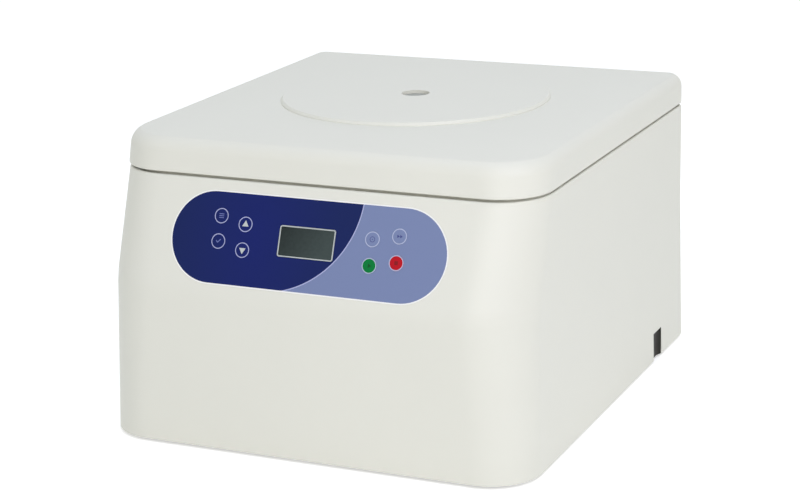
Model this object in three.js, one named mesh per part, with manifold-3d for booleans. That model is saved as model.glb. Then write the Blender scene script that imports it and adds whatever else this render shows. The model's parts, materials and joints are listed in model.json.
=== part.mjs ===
// Bench centrifuge with a swing-out rotor and a hinged lid, in millimetres, +Z up.
// The origin lies on the table under the middle of the body; the control panel faces -Y.
import * as THREE from 'three';
import { mergeVertices } from 'three/addons/utils/BufferGeometryUtils.js';
import Module from 'manifold-3d';

const wasm = await Module();
wasm.setup();

// Clearances and facet counts
const seat = 0.3;
const overrun = 30;
const weldDistance = 0.0001;
const cornerSteps = 6;
const edgeSteps = 3;
const ringSteps = 32;
const turnedSteps = 16;
const keySteps = 14;
const smallSteps = 10;
const quarter = Math.PI / 2;
const sides = [-1, 1];

// Moulded body, sized by the chamber and the drive that it holds
const body = {
  sideMargin: 50,
  frontMargin: 103,
  rearMargin: 49,
  driveHeight: 94,
  wall: 3,
  floorGap: 3,
  seamGap: 2.2,
  slopeRise: 92.6,
  frontLean: 37,
  creaseBlend: 8,
  frontCorner: 48.6,
  creaseCorner: 55,
  footCorner: 45,
  rearCorner: 18,
  sideDraftShare: 0.02,
  topEdge: 3,
  rimWidth: 12,
  deckDrop: 6,
  deckThickness: 3,
  leastCorner: 6,
};
const grip = { length: 24.4, height: 27, fromRear: 78 };
const boss = { radius: 7, fromSide: 10, fromEnd: 62, height: 46 };
const vent = { length: 100, height: 3.2, pitch: 7.2, rows: 9, fromSide: 100, belowSeam: 86.2 };

// Base and feet
const pan = {
  height: 12,
  thickness: 2,
  slotLength: 70,
  slotWidth: 3.2,
  slotPitch: 9,
  slots: 6,
  slotFromSide: 105,
};
const foot = { topRadius: 15, bottomRadius: 13, fromSide: 52, fromEnd: 52, sole: 2 };

// Lid
const lid = {
  height: 29.8,
  wall: 3,
  topFillet: 12,
  lowerEdge: 3,
  frontLean: 3.5,
  crownInset: 64,
  crown: 2,
  discInset: 11,
  discRise: 2,
  discEdge: 1.6,
  discDome: 0.6,
  domeShare: 0.5,
};
const liner = { thickness: 3, recess: 1 };
const sight = { holeRadius: 12.9, depth: 3.4, flangeRadius: 18, flangeThickness: 3, gap: 0.5 };

// Lid hinges at the rear
const hinge = {
  inset: 7,
  fromSide: 90,
  knuckleRadius: 5.5,
  knuckleWidth: 16,
  earWidth: 4,
  pinRadius: 2.5,
  pinOverhang: 1,
  leafLength: 32,
  leafThickness: 3,
  stemThickness: 5,
  footWidth: 30,
  footHeight: 30,
  footDrop: 14,
  slotGap: 0.7,
};

// Chamber
const chamber = {
  radius: 135,
  sheet: 1.2,
  flangeWidth: 15,
  flangeGap: 0.8,
  floorFillet: 14,
  floorClearance: 14,
  hubRadius: 40,
  hubTopShare: 0.67,
  hubRise: 12,
  holeRadius: 16,
};
const gasket = { width: 10, inset: 2, lip: 3 };
const seal = { gap: 1.2, flange: 5, thickness: 2.6, skirt: 14 };

// Swing-out rotor
const rotor = {
  topGap: 41.2,
  trunnionRadius: 52,
  armRadius: 66,
  thickness: 18,
  slotHalfWidth: 21,
  slotInner: 27.5,
  hubRadius: 20,
  hubDrop: 14,
  hubRise: 16,
  pinRadius: 3,
  pinReach: 3.2,
  reliefRadius: 19,
  reliefDistance: 68,
  count: 4,
};
const bucket = {
  radius: 17.4,
  footRadius: 15.6,
  wall: 1.8,
  rise: 12,
  swingGap: 9,
  collarRadius: 20.4,
  collarHalfHeight: 7,
  rimRadius: 18.8,
  hookGap: 0.3,
  footFillet: 6,
};
const sleeve = { wall: 1.6, rimRise: 1.6, floor: 2, gap: 0.3 };
const spindle = { radius: 7.7, collarRadius: 12, collarHeight: 4, stub: 9 };
const nut = { radius: 13, height: 14, dome: 5, skirtHeight: 4, flangeRadius: 16 };

// Drive
const motor = {
  plateRadius: 92,
  plateThickness: 4,
  damperHeightShare: 0.34,
  damperRadius: 13,
  damperWaist: 9.5,
  damperBandShare: 0.2,
  damperCircle: 76,
  damperCount: 3,
  statorRadius: 47,
  statorDropShare: 0.29,
  flangeRadius: 62,
  flangeThickness: 4,
  coverRadius: 44,
  coverHeightShare: 0.32,
  bossRadius: 17,
  bossHeightShare: 0.085,
  edge: 5,
  shaftDepthShare: 0.36,
};
const driveBoard = {
  length: 110,
  width: 62,
  thickness: 1.6,
  fromSide: 75,
  fromRear: 66,
  post: 6,
  postRadius: 3,
  postInset: 6,
  sinkLength: 60,
  sinkWidth: 26,
  sinkHeight: 24,
  capRadius: 9,
  capHeight: 26,
};

// Lid lock under the deck
const lock = {
  fromFlange: 14,
  bladeHalfWidth: 9,
  bladeThickness: 3,
  windowHalfWidth: 5,
  windowGap: 3.6,
  windowFromEnd: 4,
  flangeHalfLength: 15,
  flangeHalfWidth: 8,
  flangeThickness: 2,
  slotHalfLength: 12,
  slotFront: 7,
  slotRear: 6,
  pivotBack: 16,
  pivotRadius: 2,
  armLength: 22,
  armHalfWidth: 4,
  tipThickness: 4,
  tipPast: 1,
  hookThickness: 4,
  throwDegrees: 14,
  leverLength: 14,
  forkThickness: 3,
  forkHalfWidth: 6,
  forkReach: 5,
  neckRadius: 2,
  spoolRadius: 5.5,
  spoolHalfGap: 3.1,
  spoolFlange: 1.5,
  plungerRadius: 4,
  plungerLength: 18,
  plungerGap: 0.4,
  headroom: 3,
  sheet: 2,
  cheekInner: 5.5,
  cheekHalfDepth: 5,
  shelfGap: 2,
  coilHeight: 28,
  coilHalfWidth: 11,
  coilRadius: 9,
};

// Control panel, measured in its own plane: x across, y up the slope from the panel's middle
const panel = {
  halfLength: 128.2,
  across: 1.2,
  lowerMargin: 7.9,
  upperMargin: 11.6,
  recess: 1.2,
  overlay: 1,
  keyRadius: 6.6,
  keyGap: 0.25,
  keyThickness: 0.85,
  keyProud: 0.25,
  keyTravel: 0.4,
  stemRadius: 3,
  stemGap: 0.8,
  boardGap: 6,
  boardThickness: 1.8,
  boardEndInset: 23.5,
  boardEdgeInset: 6.9,
  postRadius: 4,
  postInset: 7,
};
const keyPlaces = {
  key_menu: { across: -82.4, up: 18.6 },
  key_confirm: { across: -82.4, up: -3.2 },
  key_up: { across: -58.7, up: 13.2 },
  key_down: { across: -58.7, up: -8.8 },
  key_mode: { across: 59.6, up: 11.1 },
  key_pulse: { across: 83.4, up: 15.6 },
  key_start: { across: 59.6, up: -10.9 },
  key_stop: { across: 83.4, up: -6.4 },
};
const display = {
  across: 0,
  up: 2.4,
  halfLength: 25.8,
  halfHeight: 13.2,
  frameWidth: 1.3,
  frameProud: 0.4,
  corner: 2,
  glassDrop: 0.3,
  moduleInset: 1.6,
};

// Power inlet and switch on the rear wall
const power = {
  fromSide: 95,
  height: 62,
  openingHalfLength: 50,
  openingHalfHeight: 20,
  lap: 5,
  sheet: 1.5,
  flange: 2.4,
  inletX: -20,
  inletHalfLength: 14,
  inletHalfHeight: 10.4,
  inletFlangeLap: 4,
  inletDepth: 24,
  socketHalfLength: 12.3,
  socketHalfHeight: 8.6,
  socketDepth: 17,
  socketChamfer: 3.4,
  switchX: 28,
  switchHalfLength: 10.4,
  switchHalfHeight: 13.8,
  switchLap: 1.8,
  switchWall: 1.1,
  rockerRadius: 12.4,
  rockerDepth: 7.5,
  rockerTilt: 9,
  rockerTopAngle: 28,
  rockerLowAngle: 15,
  rockerValley: 2,
  switchFloor: 6.6,
};

// Sizes and places that follow from the ones above
const flangeRadius = chamber.radius + chamber.flangeWidth;
const bodyWidth = 2 * (flangeRadius + body.sideMargin);
const bodyDepth = body.frontMargin + 2 * flangeRadius + body.rearMargin;
const panTop = pan.height + pan.thickness;
const bucketHang = chamber.radius - rotor.trunnionRadius - bucket.swingGap;
const bowlFloor = panTop + body.driveHeight;
const trunnionZ = bowlFloor + chamber.floorClearance + bucketHang;
const linerUnder = trunnionZ + rotor.topGap;
const linerTop = linerUnder + liner.thickness;
const seamHeight = linerUnder - liner.recess;
const creaseHeight = seamHeight - body.slopeRise;
const frontY = -bodyDepth / 2;
const rearY = bodyDepth / 2;
const bodyTop = seamHeight - body.seamGap;
const deckTop = bodyTop - body.deckDrop;
const deckUnder = deckTop - body.deckThickness;
const leanShare = body.frontLean / body.slopeRise;
const leanAngle = Math.atan(leanShare);
const lidTop = seamHeight + lid.height;
const lidFlat = lidTop + lid.crown;
const discTop = lidFlat + lid.discRise;
const discRadius = chamber.radius - lid.discInset;
const axisY = frontY + body.frontMargin + flangeRadius;
const hingeX = bodyWidth / 2 - hinge.fromSide;
const hingeY = rearY - hinge.inset;
const hingeZ = seamHeight + hinge.inset;
const lockY = frontY + body.frontMargin - lock.fromFlange;
const powerX = bodyWidth / 2 - power.fromSide;
const slopeLength = Math.hypot(body.frontLean, body.slopeRise);
const panelHalfHeight = (slopeLength - panel.lowerMargin - panel.upperMargin) / 2;

// Solids from three.js geometries
function solidOf(geometry) {
  const bare = geometry.clone();
  bare.deleteAttribute('normal');
  bare.deleteAttribute('uv');
  const merged = mergeVertices(bare, weldDistance);
  const place = merged.attributes.position;
  const corners = [new THREE.Vector3(), new THREE.Vector3(), new THREE.Vector3()];
  const kept = [];
  let volume = 0;
  for (let start = 0; start < merged.index.count; start += 3) {
    const face = [0, 1, 2].map((side) => merged.index.getX(start + side));
    if (new Set(face).size < 3) {
      continue;
    }
    face.forEach((vertex, side) => corners[side].fromBufferAttribute(place, vertex));
    volume += corners[0].dot(corners[1].clone().cross(corners[2]));
    kept.push(face);
  }
  const outward = volume < 0 ? kept.map(([a, b, c]) => [a, c, b]) : kept;
  const triVerts = Uint32Array.from(outward.flat());
  const vertProperties = Float32Array.from(place.array);
  return new wasm.Manifold(new wasm.Mesh({ numProp: 3, vertProperties, triVerts }));
}

function joined(solids) {
  return solids.reduce((all, solid) => all.add(solid));
}

function geometryOf(solid) {
  const mesh = solid.getMesh();
  const geometry = new THREE.BufferGeometry();
  geometry.setAttribute('position', new THREE.BufferAttribute(mesh.vertProperties, 3));
  geometry.setIndex(new THREE.BufferAttribute(mesh.triVerts, 1));
  geometry.computeVertexNormals();
  return geometry;
}

function block(low, high) {
  const size = new THREE.Vector3().subVectors(high, low);
  const middle = new THREE.Vector3().addVectors(low, high).multiplyScalar(1 / 2);
  const geometry = new THREE.BoxGeometry(size.x, size.y, size.z);
  geometry.translate(middle.x, middle.y, middle.z);
  return solidOf(geometry);
}

function at(x, y, z) {
  return new THREE.Vector3(x, y, z);
}

function rod(radius, low, high, x = 0, y = 0, steps = turnedSteps) {
  const geometry = new THREE.CylinderGeometry(radius, radius, high - low, steps);
  geometry.rotateX(quarter);
  geometry.translate(x, y, (low + high) / 2);
  return solidOf(geometry);
}

function rodAlongX(radius, low, high, y, z, steps = turnedSteps) {
  const geometry = new THREE.CylinderGeometry(radius, radius, high - low, steps);
  geometry.rotateZ(quarter);
  geometry.translate((low + high) / 2, y, z);
  return solidOf(geometry);
}

function revolve(profile, steps = ringSteps) {
  const points = profile.map(([radius, height]) => new THREE.Vector2(radius, height));
  const geometry = new THREE.LatheGeometry(points, steps);
  geometry.rotateX(quarter);
  return solidOf(geometry);
}

function revolveRing(profile, steps = ringSteps) {
  return revolve([...profile, profile[0]], steps);
}

function arc(centreX, centreY, radius, from, to, steps) {
  return Array.from({ length: steps + 1 }, (_, step) => {
    const angle = from + ((to - from) * step) / steps;
    return [centreX + radius * Math.cos(angle), centreY + radius * Math.sin(angle)];
  });
}

function extruded(points, depth) {
  const shape = new THREE.Shape(points.map(([x, y]) => new THREE.Vector2(x, y)));
  return new THREE.ExtrudeGeometry(shape, { depth, bevelEnabled: false });
}

function plate(points, low, high) {
  return solidOf(extruded(points, high - low).translate(0, 0, low));
}

// A plate whose outline is drawn in Y and Z and whose thickness runs along X
function plateAcross(points, low, high) {
  return solidOf(extruded(points, high - low).rotateX(quarter).rotateZ(quarter).translate(low, 0, 0));
}

// A plate whose outline is drawn in X and Z and whose thickness runs along Y
function plateUpright(points, low, high) {
  return solidOf(extruded(points, high - low).rotateX(quarter).translate(0, high, 0));
}

function roundedPlate(halfLength, halfHeight, corner, low, high, place = {}) {
  const { across = 0, up = 0, steps = edgeSteps } = place;
  const points = [
    ...arc(halfLength - corner, corner - halfHeight, corner, -quarter, 0, steps),
    ...arc(halfLength - corner, halfHeight - corner, corner, 0, quarter, steps),
    ...arc(corner - halfLength, halfHeight - corner, corner, quarter, 2 * quarter, steps),
    ...arc(corner - halfLength, corner - halfHeight, corner, 2 * quarter, 3 * quarter, steps),
  ];
  return plate(points.map(([x, y]) => [x + across, y + up]), low, high);
}

// A closed skin through rings of equal count, from the lowest ring to the highest
function loft(rings) {
  const count = rings[0].length;
  const positions = rings.flat().flatMap((point) => [point.x, point.y, point.z]);
  const index = [];
  for (let level = 0; level + 1 < rings.length; level += 1) {
    for (let step = 0; step < count; step += 1) {
      const next = (step + 1) % count;
      const lower = level * count;
      const upper = lower + count;
      index.push(lower + step, lower + next, upper + next, lower + step, upper + next, upper + step);
    }
  }
  const last = (rings.length - 1) * count;
  for (let step = 1; step + 1 < count; step += 1) {
    index.push(0, step + 1, step);
    index.push(last, last + step, last + step + 1);
  }
  const geometry = new THREE.BufferGeometry();
  geometry.setAttribute('position', new THREE.Float32BufferAttribute(positions, 3));
  geometry.setIndex(index);
  return solidOf(geometry);
}

// Outline of the body and lid in plan
function halfWidthAt(height) {
  return bodyWidth / 2 - body.sideDraftShare * (Math.min(height, creaseHeight) - body.floorGap);
}

// The front corners are roundest at the crease
function frontCornerAt(height) {
  const below = creaseHeight - height;
  if (below > 0) {
    const share = below / (creaseHeight - body.floorGap);
    return body.creaseCorner + (body.footCorner - body.creaseCorner) * share;
  }
  const share = Math.min(1, -below / body.slopeRise);
  return body.creaseCorner + (body.frontCorner - body.creaseCorner) * share;
}

function sharpLeanAt(height) {
  const bodyLean = Math.max(0, Math.min(height, seamHeight) - creaseHeight) * leanShare;
  const lidLean = (Math.max(0, height - seamHeight) * lid.frontLean) / lid.height;
  return bodyLean + lidLean;
}

function leanAt(height) {
  const past = height - creaseHeight + body.creaseBlend;
  const blended = past > 0 && past < 2 * body.creaseBlend;
  return blended ? (leanShare * past * past) / (4 * body.creaseBlend) : sharpLeanAt(height);
}

function ringAt(height, inset, lean) {
  const frontCorner = Math.max(frontCornerAt(height) - inset, body.leastCorner);
  const rearCorner = Math.max(body.rearCorner - inset, body.leastCorner);
  const side = halfWidthAt(height) - inset;
  const front = frontY + lean + inset;
  const rear = rearY - inset;
  const outline = [
    ...arc(side - frontCorner, front + frontCorner, frontCorner, -quarter, 0, cornerSteps),
    ...arc(side - rearCorner, rear - rearCorner, rearCorner, 0, quarter, cornerSteps),
    ...arc(rearCorner - side, rear - rearCorner, rearCorner, quarter, 2 * quarter, cornerSteps),
    ...arc(frontCorner - side, front + frontCorner, frontCorner, 2 * quarter, 3 * quarter, cornerSteps),
  ];
  return outline.map(([x, y]) => at(x, y, height));
}

function outerRing(height, inset = 0) {
  return ringAt(height, inset, leanAt(height));
}

// The inner skin keeps the wall's thickness where the front leans
function innerRing(height, wall) {
  const leans = height > creaseHeight;
  const extra = leans ? wall / Math.cos(leanAngle) - wall : 0;
  return ringAt(height, wall, sharpLeanAt(height) + extra);
}

// Materials
function material(colour, roughness, metalness) {
  return new THREE.MeshStandardMaterial({ color: colour, roughness, metalness });
}

const finish = {
  shell: () => material(0xdfe0d8, 0.42, 0),
  liner: () => material(0xd3d5d0, 0.55, 0),
  rubber: () => material(0x1d1e20, 0.85, 0),
  stainless: () => material(0xb9bcc0, 0.28, 1),
  zincSteel: () => material(0xa8abad, 0.45, 1),
  aluminium: () => material(0xc4c7cb, 0.35, 1),
  motorPaint: () => material(0x2b2d31, 0.5, 0.3),
  copper: () => material(0x9c5a2c, 0.4, 0.8),
  board: () => material(0x1d4a2c, 0.6, 0),
  film: () => material(0x1f2a61, 0.35, 0),
  paleFilm: () => material(0x7f8bb5, 0.35, 0),
  green: () => material(0x0f8a3c, 0.35, 0),
  red: () => material(0xc01a26, 0.35, 0),
  frame: () => material(0xb6bcc4, 0.4, 0),
  glass: () => material(0x343b3d, 0.12, 0),
  clear: () => material(0xa9aeb0, 0.1, 0),
  black: () => material(0x151618, 0.45, 0),
  sleeve: () => material(0x3a5fa8, 0.6, 0),
};

const centrifuge = new THREE.Group();

function addPiece(name, solid, look, holder = centrifuge) {
  const mesh = new THREE.Mesh(geometryOf(solid), look);
  mesh.name = name;
  holder.add(mesh);
}

// Control panel frame: x across, y up the slope, z out of the surface
const slopeUp = at(0, body.frontLean, body.slopeRise).normalize();
const slopeOut = at(1, 0, 0).cross(slopeUp);
const panelMiddle = at(panel.across, frontY, creaseHeight)
  .addScaledVector(slopeUp, panel.lowerMargin + panelHalfHeight);
const panelMatrix = new THREE.Matrix4()
  .makeBasis(at(1, 0, 0), slopeUp, slopeOut)
  .setPosition(panelMiddle);
const panelHolder = new THREE.Group();
panelHolder.applyMatrix4(panelMatrix);
centrifuge.add(panelHolder);

const boardTop = -body.wall - panel.boardGap;
const boardHalfLength = panel.halfLength - panel.boardEndInset;
const boardHalfHeight = panelHalfHeight - panel.boardEdgeInset;
const displayPlace = { across: display.across, up: display.up };
const postPlaces = sides.flatMap((side) =>
  sides.map((level) => [
    side * (boardHalfLength - panel.postInset),
    level * (boardHalfHeight - panel.postInset),
  ]));

function onPanel(solid) {
  return solid.transform(panelMatrix.toArray());
}

function stadium(gap, low, high) {
  const end = panelHalfHeight + gap;
  return roundedPlate(panel.halfLength + gap, end, end, low, high, { steps: cornerSteps });
}

function panelCuts() {
  const recess = stadium(seat, -panel.recess, overrun);
  const length = display.halfLength - display.moduleInset + seat;
  const height = display.halfHeight - display.moduleInset + seat;
  const window = block(
    at(display.across - length, display.up - height, -overrun),
    at(display.across + length, display.up + height, overrun),
  );
  const holes = Object.values(keyPlaces).map((key) =>
    rod(panel.stemRadius + panel.stemGap, -overrun, overrun, key.across, key.up, smallSteps));
  return joined([recess, window, ...holes]);
}

function boardPosts() {
  const root = -(body.wall + panel.recess) / 2;
  return joined(postPlaces.map(([x, y]) => rod(panel.postRadius, boardTop + seat, root, x, y, smallSteps)));
}

// Body shell
const bossPlaces = sides.flatMap((side) =>
  sides.map((end) => [side * (bodyWidth / 2 - boss.fromSide), end * (bodyDepth / 2 - boss.fromEnd)]));

function bodySkin() {
  const blend = body.creaseBlend;
  const crease = creaseHeight;
  const levels = [crease - blend, crease - blend / 2, crease, crease + blend / 2, crease + blend];
  const rings = [body.floorGap, ...levels].map((height) => outerRing(height));
  for (let step = 0; step <= edgeSteps; step += 1) {
    const angle = (step / edgeSteps) * quarter;
    const height = bodyTop - body.topEdge + body.topEdge * Math.sin(angle);
    rings.push(outerRing(height, body.topEdge * (1 - Math.cos(angle))));
  }
  return loft(rings);
}

function bodyCavity() {
  return loft([
    innerRing(body.floorGap - overrun, body.wall),
    innerRing(creaseHeight, body.wall),
    innerRing(deckTop + seat, body.wall),
  ]);
}

function rimOpening() {
  const outline = outerRing(bodyTop, body.rimWidth).map((point) => [point.x, point.y]);
  return plate(outline, deckUnder, bodyTop + overrun);
}

function hingeStemFront() {
  return rearY - body.wall - seat - hinge.stemThickness;
}

function hingeSlot(side) {
  const middle = side * hingeX;
  const half = hinge.knuckleWidth / 2 + hinge.slotGap;
  return block(
    at(middle - half, hingeStemFront() - hinge.slotGap, deckUnder - overrun),
    at(middle + half, rearY - body.wall, bodyTop + overrun),
  );
}

function gripNotch(side) {
  const ends = [side * (bodyWidth / 2 - overrun), side * (bodyWidth / 2 + overrun)];
  const rear = rearY - grip.fromRear;
  return block(
    at(Math.min(...ends), rear - grip.length, body.floorGap - overrun),
    at(Math.max(...ends), rear, body.floorGap + grip.height),
  );
}

function ventSlot(row) {
  const ventX = bodyWidth / 2 - vent.fromSide;
  const middle = seamHeight - vent.belowSeam + (row - (vent.rows - 1) / 2) * vent.pitch;
  return block(
    at(-ventX - vent.length / 2, rearY - overrun, middle - vent.height / 2),
    at(-ventX + vent.length / 2, rearY + overrun, middle + vent.height / 2),
  );
}

function powerOpening() {
  return block(
    at(powerX - power.openingHalfLength, rearY - overrun, power.height - power.openingHalfHeight),
    at(powerX + power.openingHalfLength, rearY + overrun, power.height + power.openingHalfHeight),
  );
}

function bodyOpenings() {
  return joined([
    rimOpening(),
    powerOpening(),
    ...sides.map(hingeSlot),
    ...sides.map(gripNotch),
    ...Array.from({ length: vent.rows }, (_, row) => ventSlot(row)),
  ]);
}

function mainHousing() {
  const bosses = bossPlaces.map(([x, y]) =>
    rod(boss.radius, panTop + seat, panTop + seat + boss.height, x, y, smallSteps).intersect(bodySkin()));
  const shell = bodySkin().subtract(bodyCavity()).subtract(bodyOpenings());
  return joined([shell, ...bosses, onPanel(boardPosts())]).subtract(onPanel(panelCuts()));
}

// Deck under the body's rim, which carries the chamber and the lock
function chamberHole() {
  const radius = chamber.radius + chamber.sheet + chamber.flangeGap;
  return rod(radius, deckUnder - overrun, bodyTop + overrun, 0, axisY, ringSteps);
}

function lockSlot() {
  return block(
    at(-lock.slotHalfLength, lockY - lock.slotFront, deckUnder - overrun),
    at(lock.slotHalfLength, lockY + lock.slotRear, bodyTop),
  );
}

function deckPlate() {
  const outline = innerRing(deckTop, body.wall + seat).map((point) => [point.x, point.y]);
  const openings = joined([chamberHole(), lockSlot(), ...sides.map(hingeSlot)]);
  return plate(outline, deckUnder, deckTop).subtract(openings);
}

// Base pan with its intake slots and the posts of the drive board
const boardPlace = at(driveBoard.fromSide - bodyWidth / 2, rearY - driveBoard.fromRear, 0);

function intakeSlot(side, row) {
  const centre = side * (bodyWidth / 2 - pan.slotFromSide);
  const middle = (frontY + axisY) / 2 + (row - (pan.slots - 1) / 2) * pan.slotPitch;
  return block(
    at(centre - pan.slotLength / 2, middle - pan.slotWidth / 2, -overrun),
    at(centre + pan.slotLength / 2, middle + pan.slotWidth / 2, overrun),
  );
}

function drivePost(side, end) {
  const x = boardPlace.x + side * (driveBoard.length / 2 - driveBoard.postInset);
  const y = boardPlace.y + end * (driveBoard.width / 2 - driveBoard.postInset);
  const root = pan.height + pan.thickness / 2;
  return rod(driveBoard.postRadius, root, panTop + driveBoard.post, x, y, smallSteps);
}

function basePan() {
  const outline = innerRing(pan.height, body.wall + seat).map((point) => [point.x, point.y]);
  const rows = Array.from({ length: pan.slots }, (_, row) => row);
  const slots = sides.flatMap((side) => rows.map((row) => intakeSlot(side, row)));
  const posts = sides.flatMap((side) => sides.map((end) => drivePost(side, end)));
  return joined([plate(outline, pan.height, panTop), ...posts]).subtract(joined(slots));
}

function rubberFoot(x, y) {
  const top = pan.height - seat;
  const profile = [
    [0, 0], [foot.bottomRadius - foot.sole, 0], [foot.bottomRadius, foot.sole],
    [foot.topRadius, top], [0, top],
  ];
  return revolve(profile, keySteps).translate([x, y, 0]);
}

// Stainless chamber bowl, its gasket and the rubber seal round the spindle
const flangeUnder = deckTop + seat;

function bowlSkin(offset) {
  const fillet = chamber.floorFillet + offset;
  const floor = bowlFloor - offset;
  const wall = chamber.radius + offset;
  return [
    [chamber.holeRadius, floor + chamber.hubRise],
    [chamber.hubRadius * chamber.hubTopShare, floor + chamber.hubRise],
    [chamber.hubRadius, floor],
    ...arc(wall - fillet, floor + fillet, fillet, -quarter, 0, edgeSteps),
  ];
}

function chamberBowl() {
  const inner = bowlSkin(0);
  const outer = bowlSkin(chamber.sheet).reverse();
  const flangeTop = flangeUnder + chamber.sheet;
  const flange = [
    [chamber.radius, flangeTop], [flangeRadius, flangeTop], [flangeRadius, flangeUnder],
    [chamber.radius + chamber.sheet, flangeUnder],
  ];
  return revolveRing([...inner, ...flange, ...outer], ringSteps).translate([0, axisY, 0]);
}

function chamberGasket() {
  const low = flangeUnder + chamber.sheet + seat;
  const high = linerUnder - seat;
  const outer = flangeRadius - gasket.inset;
  const inner = outer - gasket.width;
  const shoulder = high - gasket.lip;
  const profile = [
    [inner, low], [outer, low], [outer, shoulder], [outer - gasket.lip, high], [inner + gasket.lip, high],
    [inner, shoulder],
  ];
  return revolveRing(profile, ringSteps).translate([0, axisY, 0]);
}

function shaftSeal() {
  const inner = spindle.radius + seal.gap;
  const outer = chamber.holeRadius - seat;
  const collar = bowlFloor + chamber.hubRise + seat;
  const profile = [
    [inner, collar - seal.skirt], [outer, collar - seal.skirt], [outer, collar],
    [outer + seal.flange, collar], [outer + seal.flange, collar + seal.thickness],
    [inner, collar + seal.thickness],
  ];
  return revolveRing(profile, turnedSteps).translate([0, axisY, 0]);
}

// Drive: plate on rubber dampers, motor and electronics
const damperHeight = body.driveHeight * motor.damperHeightShare;
const statorDrop = body.driveHeight * motor.statorDropShare;
const coverHeight = body.driveHeight * motor.coverHeightShare;
const bossHeight = body.driveHeight * motor.bossHeightShare;
const shaftDepth = body.driveHeight * motor.shaftDepthShare;
const plateUnder = panTop + damperHeight + 2 * seat;
const plateTop = plateUnder + motor.plateThickness;
const motorTop = plateTop + seat + motor.flangeThickness + coverHeight + bossHeight;

function motorPlate() {
  const hole = rod(motor.statorRadius + seat, plateUnder - overrun, plateTop + overrun, 0, axisY, ringSteps);
  return rod(motor.plateRadius, plateUnder, plateTop, 0, axisY, ringSteps).subtract(hole);
}

function damper(step) {
  const angle = quarter + (step * 2 * Math.PI) / motor.damperCount;
  const low = panTop + seat;
  const high = low + damperHeight;
  const band = damperHeight * motor.damperBandShare;
  const profile = [
    [0, low], [motor.damperRadius, low], [motor.damperRadius, low + band],
    [motor.damperWaist, (low + high) / 2], [motor.damperRadius, high - band],
    [motor.damperRadius, high], [0, high],
  ];
  const x = motor.damperCircle * Math.cos(angle);
  const y = axisY + motor.damperCircle * Math.sin(angle);
  return revolve(profile, smallSteps).translate([x, y, 0]);
}

function motorBody() {
  const flangeLow = plateTop + seat;
  const flangeHigh = flangeLow + motor.flangeThickness;
  const coverTop = flangeHigh + coverHeight;
  const bore = spindle.radius + seat;
  const profile = [
    [0, plateUnder - statorDrop],
    [motor.statorRadius - motor.edge, plateUnder - statorDrop],
    [motor.statorRadius, plateUnder - statorDrop + motor.edge],
    [motor.statorRadius, flangeLow],
    [motor.flangeRadius, flangeLow],
    [motor.flangeRadius, flangeHigh],
    [motor.coverRadius, flangeHigh],
    [motor.coverRadius, coverTop - motor.edge],
    [motor.coverRadius - motor.edge, coverTop],
    [motor.bossRadius, coverTop],
    [motor.bossRadius, motorTop],
    [bore, motorTop],
    [bore, motorTop - shaftDepth],
    [0, motorTop - shaftDepth],
  ];
  return revolve(profile, ringSteps / 2).translate([0, axisY, 0]);
}

function driveElectronics() {
  const low = panTop + driveBoard.post + seat;
  const high = low + driveBoard.thickness;
  const { x, y } = boardPlace;
  const card = block(
    at(x - driveBoard.length / 2, y - driveBoard.width / 2, low),
    at(x + driveBoard.length / 2, y + driveBoard.width / 2, high),
  );
  const sinkX = x + driveBoard.length / 2 - driveBoard.sinkLength - driveBoard.postInset;
  const sinkY = y + driveBoard.width / 2 - driveBoard.sinkWidth;
  const sink = block(
    at(sinkX, sinkY, low),
    at(sinkX + driveBoard.sinkLength, sinkY + driveBoard.sinkWidth, high + driveBoard.sinkHeight),
  );
  const capX = x - driveBoard.length / 2 + driveBoard.capRadius + driveBoard.postInset;
  const capacitor = rod(driveBoard.capRadius, low, high + driveBoard.capHeight, capX, y, smallSteps);
  return card.add(sink).add(capacitor);
}

// Lid lock: the hook lies released, clear of the lid's striker
const hookY = lockY - lock.pivotBack;
const tipTop = lock.armLength + lock.tipThickness / 2;
const hookZ = deckUnder - lock.headroom - tipTop;
const throwAngle = THREE.MathUtils.degToRad(lock.throwDegrees);
const forkZ = hookZ - lock.leverLength * Math.sin(throwAngle);
const forkY = hookY - lock.leverLength;
const shelfTop = forkZ - lock.spoolHalfGap - lock.spoolFlange - lock.shelfGap;
const shelfUnder = shelfTop - lock.sheet;

function lockBracket() {
  const flangeTop = deckUnder - seat;
  const flangeUnderside = flangeTop - lock.sheet;
  const rear = hookY + lock.cheekHalfDepth;
  const front = hookY - lock.cheekHalfDepth;
  const outer = lock.cheekInner + lock.sheet;
  const cheeks = sides.map((side) => block(
    at(Math.min(side * lock.cheekInner, side * outer), front, shelfUnder),
    at(Math.max(side * lock.cheekInner, side * outer), rear, flangeTop),
  ));
  const tabs = sides.map((side) => block(
    at(Math.min(side * lock.cheekInner, side * lock.flangeHalfLength), front, flangeUnderside),
    at(Math.max(side * lock.cheekInner, side * lock.flangeHalfLength), rear, flangeTop),
  ));
  const shelf = block(
    at(-outer - lock.sheet, forkY - lock.coilHalfWidth, shelfUnder),
    at(outer + lock.sheet, rear, shelfTop),
  ).subtract(rod(lock.plungerRadius + lock.plungerGap, shelfUnder - overrun, shelfTop + overrun, 0, forkY));
  const pin = rodAlongX(lock.pivotRadius, -outer + seat, outer - seat, hookY, hookZ, smallSteps);
  return joined([shelf, ...cheeks, ...tabs, pin]);
}

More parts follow.
